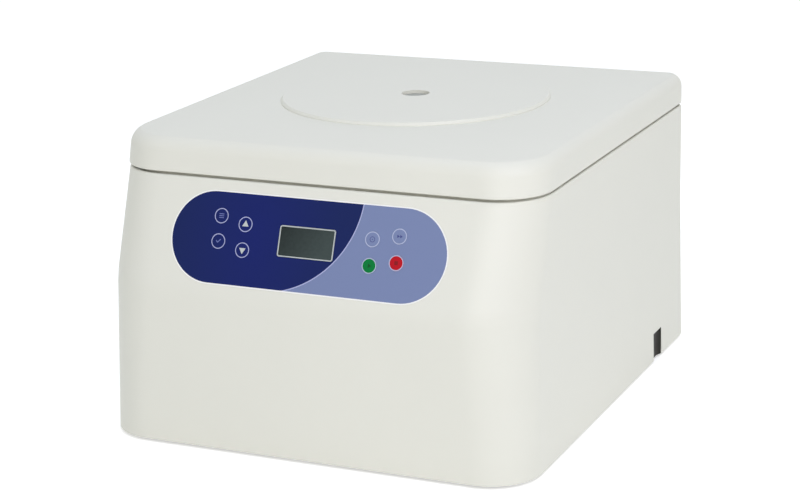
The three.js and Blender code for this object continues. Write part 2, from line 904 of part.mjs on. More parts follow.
function lockHook() {
  const half = lock.hookThickness / 2;
  const tipEnd = lock.pivotBack + lock.bladeThickness / 2 + lock.tipPast;
  const tipUnder = lock.armLength - lock.tipThickness / 2;
  const width = lock.armHalfWidth;
  const leverEnd = lock.forkReach - lock.leverLength;
  const outline = [
    [-width, width], [-width, tipTop], [tipEnd - lock.tipThickness / 2, tipTop], [tipEnd, tipUnder],
    [width, tipUnder], [width, -width], [0, -width],
    [leverEnd, -lock.forkThickness / 2], [leverEnd, lock.forkThickness / 2],
  ];
  const arm = plateAcross(outline, -half, half);
  const neckGap = lock.neckRadius + lock.plungerGap + seat;
  const fork = block(
    at(-lock.forkHalfWidth, -lock.leverLength - lock.forkReach, -lock.forkThickness / 2),
    at(lock.forkHalfWidth, -lock.leverLength + lock.forkReach, lock.forkThickness / 2),
  ).subtract(block(
    at(-neckGap, -lock.leverLength - overrun, -overrun),
    at(neckGap, -lock.leverLength + neckGap, overrun),
  ));
  const bore = rodAlongX(lock.pivotRadius + seat, -overrun, overrun, 0, 0, smallSteps);
  return arm.add(fork).subtract(bore).rotate([lock.throwDegrees, 0, 0]).translate([0, hookY, hookZ]);
}

function lockPlunger() {
  const gap = lock.spoolHalfGap;
  const flange = lock.spoolFlange;
  const profile = [
    [0, -gap - flange - lock.plungerLength],
    [lock.plungerRadius, -gap - flange - lock.plungerLength],
    [lock.plungerRadius, -gap - flange],
    [lock.spoolRadius, -gap - flange],
    [lock.spoolRadius, -gap],
    [lock.neckRadius, -gap],
    [lock.neckRadius, gap],
    [lock.spoolRadius, gap],
    [lock.spoolRadius, gap + flange],
    [0, gap + flange],
  ];
  return revolve(profile, smallSteps).translate([0, forkY, forkZ]);
}

function lockSolenoid() {
  const top = shelfUnder - seat;
  const low = top - lock.coilHeight;
  const half = lock.coilHalfWidth;
  const ends = [[low, low + lock.sheet], [top - lock.sheet, top]].map(([from, to]) =>
    block(at(-half, forkY - half, from), at(half, forkY + half, to)));
  const back = block(at(-half, forkY - half, low), at(half, forkY - half + lock.sheet, top));
  const coil = rod(lock.coilRadius, low + lock.sheet / 2, top - lock.sheet / 2, 0, forkY);
  const bore = rod(lock.plungerRadius + lock.plungerGap, low - overrun, top + overrun, 0, forkY);
  return joined([back, coil, ...ends]).subtract(bore);
}

// Lid hinges
function knuckleOutline(radius) {
  return arc(hingeY, hingeZ, radius, 0, 4 * quarter * (1 - 1 / smallSteps), smallSteps - 1);
}

function hingeBracket(middle) {
  const half = hinge.knuckleWidth / 2;
  const front = hingeStemFront();
  const rear = front + hinge.stemThickness;
  const footTop = deckUnder - hinge.footDrop;
  const footLow = footTop - hinge.footHeight;
  const knuckle = plateAcross(knuckleOutline(hinge.knuckleRadius), -half, half);
  const stem = block(at(-half, front, footLow), at(half, rear, hingeZ));
  const footPlate = block(at(-hinge.footWidth / 2, front, footLow), at(hinge.footWidth / 2, rear, footTop));
  const bore = rodAlongX(hinge.pinRadius + seat, -overrun, overrun, hingeY, hingeZ, smallSteps);
  return knuckle.add(stem).add(footPlate).subtract(bore).translate([middle, 0, 0]);
}

function hingeLeaf(middle) {
  const inner = hinge.knuckleWidth / 2 + seat;
  const outer = inner + hinge.earWidth;
  const low = linerTop + seat;
  const high = low + hinge.leafThickness;
  const front = hingeY - hinge.knuckleRadius - hinge.leafLength;
  const web = hingeY - hinge.knuckleRadius - hinge.slotGap;
  const ears = sides.map((side) => {
    const from = Math.min(side * inner, side * outer);
    const to = Math.max(side * inner, side * outer);
    const disc = plateAcross(knuckleOutline(hinge.knuckleRadius), from, to);
    return disc.add(block(at(from, web - hinge.leafThickness, low), at(to, hingeY, high)));
  });
  const leaf = block(at(-outer, front, low), at(outer, web, high));
  const bore = rodAlongX(hinge.pinRadius + seat, -overrun, overrun, hingeY, hingeZ, smallSteps);
  return joined([leaf, ...ears]).subtract(bore).translate([middle, 0, 0]);
}

function hingePin(middle) {
  const half = hinge.knuckleWidth / 2 + seat + hinge.earWidth + hinge.pinOverhang;
  return rodAlongX(hinge.pinRadius, middle - half, middle + half, hingeY, hingeZ, smallSteps);
}

// Lid cover, liner, sight window and striker
function lidSkin() {
  const rings = [];
  for (let step = 0; step <= edgeSteps; step += 1) {
    const angle = (step / edgeSteps) * quarter;
    const height = seamHeight + lid.lowerEdge * (1 - Math.cos(angle));
    rings.push(outerRing(height, lid.lowerEdge * (1 - Math.sin(angle))));
  }
  const filletSteps = 2 * edgeSteps;
  for (let step = 0; step <= filletSteps; step += 1) {
    const angle = (step / filletSteps) * quarter;
    const height = lidTop - lid.topFillet * (1 - Math.sin(angle));
    rings.push(outerRing(height, lid.topFillet * (1 - Math.cos(angle))));
  }
  rings.push(outerRing(lidTop, lid.crownInset).map((point) => at(point.x, point.y, lidFlat)));
  return loft(rings);
}

function lidHollow() {
  const under = lidTop - lid.wall;
  return loft([
    outerRing(seamHeight - overrun, lid.wall).map((point, step) => {
      const above = outerRing(seamHeight, lid.wall)[step];
      return at(above.x, above.y, point.z);
    }),
    outerRing(seamHeight, lid.wall),
    outerRing(lidTop - lid.topFillet, lid.wall),
    outerRing(under, lid.topFillet),
  ]);
}

function lidDisc() {
  const profile = [
    [0, lidFlat - lid.wall / 2],
    [discRadius, lidFlat - lid.wall / 2],
    ...arc(discRadius - lid.discEdge, discTop - lid.discEdge, lid.discEdge, 0, quarter, edgeSteps),
    [discRadius * lid.domeShare, discTop + lid.discDome * (1 - lid.domeShare ** 2)],
    [0, discTop + lid.discDome],
  ];
  return revolve(profile, ringSteps).translate([0, axisY, 0]);
}

function hingeNotches(low, high, front) {
  const half = hinge.knuckleWidth / 2 + seat + hinge.earWidth + hinge.pinOverhang + hinge.slotGap;
  return joined(sides.map((side) => block(
    at(side * hingeX - half, front, low),
    at(side * hingeX + half, rearY + overrun, high),
  )));
}

function rearEdgeRound() {
  const half = bodyWidth / 2 + overrun;
  const corner = block(at(-half, hingeY, seamHeight - overrun), at(half, rearY + overrun, hingeZ));
  return corner.subtract(rodAlongX(hinge.inset, -half - overrun, half + overrun, hingeY, hingeZ, ringSteps));
}

function lidCover() {
  const hole = rod(sight.holeRadius, linerTop, discTop + overrun, 0, axisY);
  const clear = hinge.knuckleRadius + hinge.slotGap;
  return lidSkin()
    .subtract(lidHollow())
    .add(lidDisc())
    .subtract(hole)
    .subtract(rearEdgeRound())
    .subtract(hingeNotches(seamHeight - overrun, hingeZ + clear, rearY - body.rimWidth));
}

function lidLiner() {
  const outline = outerRing(linerTop, lid.wall + seat).map((point) => [point.x, point.y]);
  const hole = rod(sight.holeRadius - sight.gap + seat, linerUnder - overrun, linerTop + overrun, 0, axisY);
  const clear = hinge.knuckleRadius + hinge.slotGap;
  const round = hingeY + Math.sqrt(hinge.inset ** 2 - (hingeZ - linerUnder) ** 2) - seat;
  const trim = block(
    at(-bodyWidth, round, linerUnder - overrun),
    at(bodyWidth, rearY + overrun, linerTop + overrun),
  );
  return plate(outline, linerUnder, linerTop)
    .subtract(hole)
    .subtract(trim)
    .subtract(hingeNotches(linerUnder - overrun, linerTop + overrun, hingeY - clear));
}

function sightWindow() {
  const radius = sight.holeRadius - sight.gap;
  const flangeLow = linerTop + seat;
  const flangeHigh = flangeLow + sight.flangeThickness;
  const profile = [
    [0, linerUnder], [radius, linerUnder], [radius, flangeLow], [sight.flangeRadius, flangeLow],
    [sight.flangeRadius, flangeHigh], [radius, flangeHigh], [radius, discTop - sight.depth],
    [0, discTop - sight.depth],
  ];
  return revolve(profile, turnedSteps).translate([0, axisY, 0]);
}

function lidStriker() {
  const top = linerUnder - seat;
  const half = lock.bladeThickness / 2;
  const windowLow = hookZ + lock.armLength - lock.tipThickness / 2 - lock.windowGap;
  const windowHigh = hookZ + tipTop + lock.windowGap;
  const low = windowLow - lock.windowFromEnd;
  const flange = block(
    at(-lock.flangeHalfLength, lockY - lock.flangeHalfWidth, top - lock.flangeThickness),
    at(lock.flangeHalfLength, lockY + lock.flangeHalfWidth, top),
  );
  const width = lock.bladeHalfWidth;
  const blade = block(at(-width, lockY - half, low), at(width, lockY + half, top));
  const window = block(
    at(-lock.windowHalfWidth, lockY - overrun, windowLow),
    at(lock.windowHalfWidth, lockY + overrun, windowHigh),
  );
  return flange.add(blade).subtract(window);
}

// Control panel pieces, drawn in the panel's own frame
function controlOverlay() {
  const low = seat - panel.recess;
  const film = stadium(0, low, low + panel.overlay);
  const window = roundedPlate(display.halfLength + seat, display.halfHeight + seat, display.corner,
    -overrun, overrun, displayPlace);
  const holes = Object.values(keyPlaces).map((key) =>
    rod(panel.keyRadius + panel.keyGap, -overrun, overrun, key.across, key.up, keySteps));
  return film.subtract(joined([window, ...holes]));
}

function panelKey({ across, up }) {
  const capLow = panel.keyProud - panel.keyThickness;
  const stemLow = boardTop + panel.keyTravel + seat / 2;
  const cap = rod(panel.keyRadius, capLow, panel.keyProud, across, up, keySteps);
  return cap.add(rod(panel.stemRadius, stemLow, capLow + panel.keyThickness / 2, across, up, smallSteps));
}

function displayFrame() {
  const low = seat - panel.recess;
  const outer = roundedPlate(display.halfLength, display.halfHeight, display.corner, low, display.frameProud,
    displayPlace);
  const inner = roundedPlate(display.halfLength - display.frameWidth, display.halfHeight - display.frameWidth,
    display.corner / 2, -overrun, overrun, displayPlace);
  return outer.subtract(inner);
}

function displayGlass() {
  const low = seat - panel.recess;
  const rim = display.frameWidth + seat;
  const pane = roundedPlate(display.halfLength - rim, display.halfHeight - rim, display.corner / 2,
    low, display.frameProud - display.glassDrop, displayPlace);
  const length = display.halfLength - display.moduleInset - seat;
  const height = display.halfHeight - display.moduleInset - seat;
  const module = block(
    at(display.across - length, display.up - height, boardTop + seat),
    at(display.across + length, display.up + height, low + panel.overlay / 2),
  );
  return pane.add(module);
}

function controlBoard() {
  return block(
    at(-boardHalfLength, -boardHalfHeight, boardTop - panel.boardThickness),
    at(boardHalfLength, boardHalfHeight, boardTop),
  );
}

// Power inlet and switch, set in a sheet behind the rear wall's opening
const sheetRear = rearY - body.wall - seat;
const fittingRear = sheetRear + seat + power.flange;

function frameUpright(x, halfLength, halfHeight, from, to) {
  return block(
    at(powerX + x - halfLength, from, power.height - halfHeight),
    at(powerX + x + halfLength, to, power.height + halfHeight),
  );
}

function powerSheet() {
  const length = power.openingHalfLength + power.lap;
  const height = power.openingHalfHeight + power.lap;
  const sheetFront = sheetRear - power.sheet;
  return frameUpright(0, length, height, sheetFront, sheetRear)
    .subtract(frameUpright(power.inletX, power.inletHalfLength + seat, power.inletHalfHeight + seat,
      sheetFront - overrun, sheetRear + overrun))
    .subtract(frameUpright(power.switchX, power.switchHalfLength + seat, power.switchHalfHeight + seat,
      sheetFront - overrun, sheetRear + overrun));
}

function powerInlet() {
  const lap = power.inletFlangeLap;
  const flange = frameUpright(power.inletX, power.inletHalfLength + lap, power.inletHalfHeight + lap,
    sheetRear + seat, fittingRear);
  const shell = frameUpright(power.inletX, power.inletHalfLength, power.inletHalfHeight,
    fittingRear - power.inletDepth, fittingRear);
  const length = power.socketHalfLength;
  const height = power.socketHalfHeight;
  const chamfer = power.socketChamfer;
  const outline = [
    [-length, -height], [length, -height], [length, height - chamfer], [length - chamfer, height],
    [chamfer - length, height], [-length, height - chamfer],
  ].map(([x, z]) => [x + powerX + power.inletX, z + power.height]);
  const socket = plateUpright(outline, fittingRear - power.socketDepth, fittingRear + overrun);
  return flange.add(shell).subtract(socket);
}

function switchFrame() {
  const lap = power.switchLap;
  const depth = power.rockerDepth + power.switchFloor + power.switchWall;
  const flange = frameUpright(power.switchX, power.switchHalfLength + lap, power.switchHalfHeight + lap,
    sheetRear + seat, fittingRear);
  const shell = frameUpright(power.switchX, power.switchHalfLength, power.switchHalfHeight,
    fittingRear - depth, fittingRear);
  const hollow = frameUpright(power.switchX, power.switchHalfLength - power.switchWall,
    power.switchHalfHeight - power.switchWall, fittingRear - depth + power.switchWall, fittingRear + overrun);
  return flange.add(shell).subtract(hollow);
}

function powerRocker() {
  const top = THREE.MathUtils.degToRad(power.rockerTopAngle);
  const low = THREE.MathUtils.degToRad(power.rockerLowAngle);
  const radius = power.rockerRadius;
  const upperEnd = arc(0, 0, radius, quarter + low, quarter - top, edgeSteps);
  const lowerEnd = arc(0, 0, radius, top - quarter, -low - quarter, edgeSteps);
  const valley = [radius * Math.sin(top) - power.rockerValley, 0];
  const outline = [...upperEnd, valley, ...lowerEnd];
  const half = power.switchHalfLength - power.switchWall - seat;
  return plateAcross(outline, -half, half)
    .rotate([-power.rockerTilt, 0, 0])
    .translate([powerX + power.switchX, fittingRear - power.rockerDepth, power.height]);
}

// Swing-out rotor, drawn about the spindle with the trunnions at height zero
const rotorHolder = new THREE.Group();
rotorHolder.position.set(0, axisY, trunnionZ);
centrifuge.add(rotorHolder);

function rodAlongY(radius, low, high, x, steps) {
  const geometry = new THREE.CylinderGeometry(radius, radius, high - low, steps);
  return solidOf(geometry.translate(x, (low + high) / 2, 0));
}

function aroundRotor(solid) {
  const turn = 360 / rotor.count;
  return joined(Array.from({ length: rotor.count }, (_, step) => solid.rotate([0, 0, step * turn])));
}

function rotorHead() {
  const half = rotor.thickness / 2;
  const wall = rotor.slotHalfWidth;
  const disc = rod(rotor.armRadius, -half, half, 0, 0, ringSteps);
  const slot = block(at(rotor.slotInner, -wall, -overrun), at(rotor.armRadius + overrun, wall, overrun));
  const diagonal = rotor.reliefDistance * Math.SQRT1_2;
  const relief = rod(rotor.reliefRadius, -overrun, overrun, diagonal, diagonal);
  const tip = wall - rotor.pinReach;
  const root = wall + rotor.pinRadius;
  const pins = rodAlongY(rotor.pinRadius, tip, root, rotor.trunnionRadius, smallSteps)
    .add(rodAlongY(rotor.pinRadius, -root, -tip, rotor.trunnionRadius, smallSteps));
  const hub = rod(rotor.hubRadius, -rotor.hubDrop, rotor.hubRise, 0, 0, ringSteps);
  const bore = rod(spindle.radius + seat, -overrun, overrun);
  return disc.subtract(aroundRotor(slot.add(relief))).add(aroundRotor(pins)).add(hub).subtract(bore);
}

function spindleShaft() {
  const collarTop = -rotor.hubDrop - seat;
  const collarLow = collarTop - spindle.collarHeight;
  const low = motorTop - shaftDepth + seat - trunnionZ;
  const top = rotor.hubRise + spindle.stub;
  const profile = [
    [0, low], [spindle.radius, low], [spindle.radius, collarLow], [spindle.collarRadius, collarLow],
    [spindle.collarRadius, collarTop], [spindle.radius, collarTop], [spindle.radius, top], [0, top],
  ];
  return revolve(profile, turnedSteps);
}

function rotorNut() {
  const low = rotor.hubRise + seat;
  const top = low + nut.height;
  const bore = spindle.radius + seat;
  const boreTop = rotor.hubRise + spindle.stub + seat;
  const profile = [
    [bore, low], [nut.flangeRadius, low], [nut.flangeRadius, low + nut.skirtHeight / 2],
    [nut.radius, low + nut.skirtHeight], [nut.radius, top - nut.dome],
    [nut.radius * Math.SQRT1_2, top - nut.dome * (1 - Math.SQRT1_2)], [0, top], [0, boreTop], [bore, boreTop],
    [bore, low],
  ];
  return revolve(profile, turnedSteps);
}

function bucketShell() {
  const top = bucket.rise;
  const low = -bucketHang;
  const collar = bucket.collarHalfHeight;
  const inner = bucket.radius - bucket.wall;
  const innerFoot = bucket.footRadius - bucket.wall;
  const fillet = bucket.footFillet;
  const footRound = arc(bucket.footRadius - fillet, low + fillet, fillet, -quarter, 0, edgeSteps);
  const profile = [
    [0, low],
    ...footRound,
    [bucket.radius, -collar - (bucket.collarRadius - bucket.radius)],
    [bucket.collarRadius, -collar], [bucket.collarRadius, collar],
    [bucket.rimRadius, collar], [bucket.rimRadius, top], [inner, top],
    [innerFoot, low + fillet], [innerFoot - bucket.wall, low + bucket.wall], [0, low + bucket.wall],
  ];
  const shell = revolve(profile, turnedSteps);
  const half = rotor.pinRadius + bucket.hookGap;
  const reach = rotor.slotHalfWidth - rotor.pinReach - bucket.hookGap;
  const far = reach + overrun;
  const hooks = joined([
    rodAlongY(half, reach, far, 0, smallSteps),
    rodAlongY(half, -far, -reach, 0, smallSteps),
    block(at(-half, reach, -overrun), at(half, far, 0)),
    block(at(-half, -far, -overrun), at(half, -reach, 0)),
  ]);
  return shell.subtract(hooks);
}

function bucketSleeve() {
  const bucketInner = bucket.radius - bucket.wall;
  const footInner = bucket.footRadius - bucket.wall;
  const top = bucket.rise + seat;
  const low = bucket.footFillet - bucketHang;
  const outerTop = bucketInner - sleeve.gap;
  const outerLow = footInner - sleeve.gap;
  const profile = [
    [0, low], [outerLow, low], [outerTop, bucket.rise], [outerTop, top], [bucket.rimRadius, top],
    [bucket.rimRadius, top + sleeve.rimRise], [outerTop - sleeve.wall, top + sleeve.rimRise],
    [outerLow - sleeve.wall, low + sleeve.floor], [0, low + sleeve.floor],
  ];
  return revolve(profile, turnedSteps);
}

// Assembly
addPiece('main_housing', mainHousing(), finish.shell());
addPiece('deck_plate', deckPlate(), finish.shell());
addPiece('base_pan', basePan(), finish.zincSteel());
const footPlaces = { front: -1, rear: 1 };
for (const [end, endSign] of Object.entries(footPlaces)) {
  for (const [side, sideSign] of Object.entries({ left: -1, right: 1 })) {
    const x = sideSign * (bodyWidth / 2 - foot.fromSide);
    const y = endSign * (bodyDepth / 2 - foot.fromEnd);
    addPiece(`foot_${end}_${side}`, rubberFoot(x, y), finish.rubber());
  }
}
addPiece('chamber_bowl', chamberBowl(), finish.stainless());
addPiece('chamber_gasket', chamberGasket(), finish.rubber());
addPiece('shaft_seal', shaftSeal(), finish.rubber());
addPiece('motor_plate', motorPlate(), finish.zincSteel());
for (let step = 0; step < motor.damperCount; step += 1) {
  addPiece(`motor_damper_${step + 1}`, damper(step), finish.rubber());
}
addPiece('motor_body', motorBody(), finish.motorPaint());
addPiece('drive_board', driveElectronics(), finish.board());
addPiece('lock_bracket', lockBracket(), finish.zincSteel());
addPiece('lock_solenoid', lockSolenoid(), finish.copper());
addPiece('lock_hook', lockHook(), finish.zincSteel());
addPiece('lock_plunger', lockPlunger(), finish.zincSteel());
for (const [side, sideSign] of Object.entries({ left: -1, right: 1 })) {
  const middle = sideSign * hingeX;
  addPiece(`hinge_bracket_${side}`, hingeBracket(middle), finish.zincSteel());
  addPiece(`hinge_leaf_${side}`, hingeLeaf(middle), finish.zincSteel());
  addPiece(`hinge_pin_${side}`, hingePin(middle), finish.stainless());
}
addPiece('lid_cover', lidCover(), finish.shell());
addPiece('lid_liner', lidLiner(), finish.liner());
addPiece('sight_window', sightWindow(), finish.clear());
addPiece('lid_striker', lidStriker(), finish.zincSteel());
addPiece('control_overlay', controlOverlay(), finish.film(), panelHolder);
const keyFinish = {
  key_mode: finish.paleFilm,
  key_pulse: finish.paleFilm,
  key_start: finish.green,
  key_stop: finish.red,
};
for (const [name, place] of Object.entries(keyPlaces)) {
  addPiece(name, panelKey(place), (keyFinish[name] ?? finish.film)(), panelHolder);
}
addPiece('display_frame', displayFrame(), finish.frame(), panelHolder);
addPiece('display_glass', displayGlass(), finish.glass(), panelHolder);
addPiece('control_board', controlBoard(), finish.board(), panelHolder);
addPiece('power_sheet', powerSheet(), finish.zincSteel());
addPiece('power_inlet', powerInlet(), finish.black());
addPiece('switch_frame', switchFrame(), finish.black());
addPiece('power_rocker', powerRocker(), finish.black());
addPiece('spindle', spindleShaft(), finish.stainless(), rotorHolder);
addPiece('rotor_head', rotorHead(), finish.aluminium(), rotorHolder);
addPiece('rotor_nut', rotorNut(), finish.stainless(), rotorHolder);
for (let step = 0; step < rotor.count; step += 1) {
  const spoke = new THREE.Group();
  spoke.rotation.z = (step * 2 * Math.PI) / rotor.count;
  const hanger = new THREE.Group();
  hanger.position.x = rotor.trunnionRadius;
  spoke.add(hanger);
  rotorHolder.add(spoke);
  addPiece(`bucket_${step + 1}`, bucketShell(), finish.aluminium(), hanger);
  addPiece(`bucket_sleeve_${step + 1}`, bucketSleeve(), finish.sleeve(), hanger);
}

export default centrifuge;
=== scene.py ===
"""Bench centrifuge: its mouldings, film panel, chamber and rotor, with their finishes."""

import json
import math

import bmesh
import bpy
from mathutils import Matrix, Vector


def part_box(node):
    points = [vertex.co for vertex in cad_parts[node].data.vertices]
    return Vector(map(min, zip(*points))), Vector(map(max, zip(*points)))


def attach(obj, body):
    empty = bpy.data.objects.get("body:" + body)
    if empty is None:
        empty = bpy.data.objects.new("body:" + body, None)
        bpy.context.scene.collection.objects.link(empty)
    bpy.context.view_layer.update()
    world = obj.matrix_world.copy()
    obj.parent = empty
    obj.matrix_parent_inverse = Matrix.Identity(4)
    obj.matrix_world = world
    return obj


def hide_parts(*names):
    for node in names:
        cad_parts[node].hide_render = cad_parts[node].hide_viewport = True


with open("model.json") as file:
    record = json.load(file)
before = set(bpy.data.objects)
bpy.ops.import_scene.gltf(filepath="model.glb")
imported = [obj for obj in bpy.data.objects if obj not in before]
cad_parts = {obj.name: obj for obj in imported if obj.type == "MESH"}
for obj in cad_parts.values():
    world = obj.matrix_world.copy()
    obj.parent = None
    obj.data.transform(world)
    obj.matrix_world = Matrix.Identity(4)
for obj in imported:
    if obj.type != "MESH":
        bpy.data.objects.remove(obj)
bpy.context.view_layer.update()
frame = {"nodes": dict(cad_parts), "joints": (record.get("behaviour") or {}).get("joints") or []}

# Sizes are in millimetres and are turned to metres when a piece is placed
MM = 0.001
QUARTER = math.pi / 2
FINE_STEPS = 192
TURN_STEPS = 96
KEY_STEPS = 48
ROD_STEPS = 32
CORNER_STEPS = 16
EDGE_STEPS = 6
SMALL_STEPS = 4
OVERRUN = 30.0
SEAT = 0.3
MERGE = 0.0005
SHARP = math.radians(32)
SIDES = {"left": -1, "right": 1}


def node_box(node):
    low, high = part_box(node)
    return low / MM, high / MM


def joint_point(name):
    joint = next(joint for joint in frame["joints"] if joint["name"] == name)
    return Vector(joint["pos_m"]) / MM


# The body, as the frame holds it
HOUSING_LOW, HOUSING_HIGH = node_box("main_housing")
LID_LOW, LID_HIGH = node_box("lid_cover")
DECK_LOW, DECK_HIGH = node_box("deck_plate")
LINER_LOW, LINER_HIGH = node_box("lid_liner")
AXIS = joint_point("rotor_spin")
SPINDLE = Vector((AXIS.x, AXIS.y, 0))
HINGE = joint_point("lid_hinge")
FRONT = HOUSING_LOW.y
REAR = HOUSING_HIGH.y
FLOOR_GAP = HOUSING_LOW.z
BODY_TOP = HOUSING_HIGH.z
SEAM = LID_LOW.z
WALL = 3.0
SLOPE_RISE = 92.6
FRONT_LEAN = 37.0
CREASE = SEAM - SLOPE_RISE
CREASE_BLEND = 8.0
FRONT_CORNER = 48.6
CREASE_CORNER = 55.0
FOOT_CORNER = 45.0
REAR_CORNER = 15.0
LEAST_CORNER = 6.0
SIDE_DRAFT = 0.02
TOP_EDGE = 1.8
RIM_WIDTH = 12.0
CHANNEL_INSET = 2.4
CHANNEL_DEPTH = 4.2
LIP_INSET = 7.4
LIP_SHIFT = 3.8
LIP_GAP = 0.5
GRIP_LENGTH = 24.4
GRIP_REAR = REAR - 78.0
GRIP_FRONT = GRIP_REAR - GRIP_LENGTH
GRIP_TOP = FLOOR_GAP + 27.0
GRIP_SCOOP = 2.5
GRIP_SHELL = 0.25
GRIP_LAND = 0.4
GRIP_FIT = 0.05
VENT_LENGTH = 100.0
VENT_HEIGHT = 3.2
VENT_PITCH = 7.2
VENT_ROWS = 9
VENT_FROM_SIDE = 100.0
VENT_BELOW_SEAM = 86.2
SHEET_LAP = 5.0

# Lid
LID_HEIGHT = 29.3
LID_TOP = SEAM + LID_HEIGHT
LID_FALL = 1.0
LID_CORNER = 45.0
LID_TOP_CORNER = 51.0
LID_WALL = 3.0
LID_FILLET = 12.0
LID_FILLET_TURN = math.radians(68)
LID_LOWER_EDGE = 1.4
LID_LEAN = 3.5
CROWN_INSET = 64.0
CROWN = 2.5
DISC_INSET = 11.0
DISC_LOW = LID_TOP + CROWN
DISC_HIGH = DISC_LOW + 2.5
DISC_EDGE = 1.9
DISC_DOME = 0.6
HOLE_RADIUS = 12.9
PLUG_DROP = 2.9
PLUG_GAP = 0.5
PLUG_FLANGE = 18.0

# Chamber
CHAMBER_RADIUS = 135.0
SHEET = 1.2
FLANGE_WIDTH = 15.0
FLANGE_ROLL = 1.6
BOWL_FLOOR = node_box("chamber_bowl")[0].z + SHEET
FLOOR_FILLET = 14.0
HUB_RADIUS = 40.0
HUB_TOP_SHARE = 0.67
HUB_RISE = 12.0
HUB_HOLE = 16.0

# Hinges
HINGE_INSET = REAR - HINGE.y
HINGE_X = HOUSING_HIGH.x - 90.0
HINGE_GAP = 0.7
KNUCKLE_RADIUS = 5.5
KNUCKLE_WIDTH = 16.0
KNUCKLE_CLEAR = KNUCKLE_RADIUS + HINGE_GAP
EAR_WIDTH = 4.0
PIN_RADIUS = 2.5
PIN_HALF = KNUCKLE_WIDTH / 2 + SEAT + EAR_WIDTH + 1.0
STEM_REAR = REAR - WALL - SEAT
STEM_FRONT = STEM_REAR - 5.0
BRACKET_PLATE = 30.0
LEAF = 3.0

# Panel
PANEL_HALF_LENGTH = 128.2
PANEL_ACROSS = 1.2
PANEL_LOWER_MARGIN = 7.9
PANEL_UPPER_MARGIN = 11.6
PANEL_RECESS = 1.2
FILM = 1.0
FILM_LOW = SEAT - PANEL_RECESS
FILM_TOP = FILM_LOW + FILM
FILM_BORDER = 0.85
FILM_REACH = 0.25
ARC_ACROSS = -40.6
ARC_UP = 46.2
ARC_RADIUS = 88.9
ARC_HALF_LINE = 0.45
GLOW_ACROSS = -47.2
GLOW_UP = 2.0
GLOW_REACH = 75.0
SLOPE_LENGTH = math.hypot(FRONT_LEAN, SLOPE_RISE)
PANEL_HALF_HEIGHT = (SLOPE_LENGTH - PANEL_LOWER_MARGIN - PANEL_UPPER_MARGIN) / 2
SLOPE_UP = Vector((0, FRONT_LEAN, SLOPE_RISE)).normalized()
PANEL_MIDDLE = Vector((PANEL_ACROSS, FRONT, CREASE)) + SLOPE_UP * (PANEL_LOWER_MARGIN + PANEL_HALF_HEIGHT)
PANEL_TILT = math.atan2(SLOPE_RISE, FRONT_LEAN)
PANEL_PLACE = Matrix.Translation(PANEL_MIDDLE) @ Matrix.Rotation(PANEL_TILT, 4, "X")

# Keys and display
KEY_RADIUS = 6.6
KEY_GAP = 0.08
KEY_PROUD = 0.25
KEY_THICKNESS = 0.85
KEY_EDGE = 0.2
KEY_STEM = 3.0
KEY_STEM_LOW = -WALL - 5.0
KEY_LINE = 0.75
KEY_RING = KEY_RADIUS - 0.05
PRINT = 0.03
PRINT_LEVELS = (KEY_PROUD, KEY_PROUD + PRINT)
DISPLAY_UP = 2.4
DISPLAY_HALF_LENGTH = 25.8
DISPLAY_HALF_HEIGHT = 13.2
DISPLAY_CORNER = 2.0
DISPLAY_RIM = 0.95
DISPLAY_PROUD = 0.4
PANE_DROP = 0.3
PANE_DEPTH = 5.0

# Each key's place on the panel, across and up, the looks of its cap, ring and mark, and its slot
KEYS = {
    "key_menu": (-82.4, 18.6, "film", "ink_lilac", "ink_dim", "film"),
    "key_confirm": (-82.4, -3.2, "film", "ink_lilac", "ink_dim", "film"),
    "key_up": (-58.7, 13.2, "film", "ink_lilac", "rim", "film"),
    "key_down": (-58.7, -8.8, "film", "ink_lilac", "rim", "film"),
    "key_mode": (59.6, 11.1, "film_pale", "ink_mist", "ink_slate", "film_pale"),
    "key_pulse": (83.4, 15.6, "film_pale", "ink_mist", "ink_slate", "film_pale"),
    "key_start": (59.6, -10.9, "film_green", "ink_mist", "ink_deep_green", "key_green"),
    "key_stop": (83.4, -6.4, "film_red", "ink_mist", "ink_deep_red", "key_red"),
}


# Solids from mesh operators
def solid_object(bm, name="solid"):
    mesh = bpy.data.meshes.new(name)
    bm.to_mesh(mesh)
    bm.free()
    piece = bpy.data.objects.new(name, mesh)
    bpy.context.scene.collection.objects.link(piece)
    return piece


def combined(base, operation, others):
    """UNION joins the other solids to the first, DIFFERENCE cuts them out of it"""
    target = solid_object(base)
    tools = [solid_object(other) for other in others]
    for tool in tools:
        boolean = target.modifiers.new("boolean", "BOOLEAN")
        boolean.operation = operation
        boolean.solver = "EXACT"
        boolean.object = tool
    evaluated = target.evaluated_get(bpy.context.evaluated_depsgraph_get())
    result = bmesh.new()
    result.from_mesh(evaluated.to_mesh())
    evaluated.to_mesh_clear()
    for part in [target, *tools]:
        mesh = part.data
        bpy.data.objects.remove(part)
        bpy.data.meshes.remove(mesh)
    bmesh.ops.remove_doubles(result, verts=result.verts, dist=MERGE)
    return result


def cut(base, *others):
    return combined(base, "DIFFERENCE", others)


def joined(base, *others):
    return combined(base, "UNION", others)


def gathered(solids):
    """Several closed solids in one mesh, left as they are"""
    result = bmesh.new()
    for solid in solids:
        mesh = bpy.data.meshes.new("part")
        solid.to_mesh(mesh)
        solid.free()
        result.from_mesh(mesh)
        bpy.data.meshes.remove(mesh)
    return result


def moved(bm, matrix):
    bmesh.ops.transform(bm, matrix=matrix, verts=bm.verts)
    return bm


def arc(centre_x, centre_y, radius, start, end, steps=EDGE_STEPS):
    angles = [start + (end - start) * step / steps for step in range(steps + 1)]
    return [(centre_x + radius * math.cos(angle), centre_y + radius * math.sin(angle)) for angle in angles]


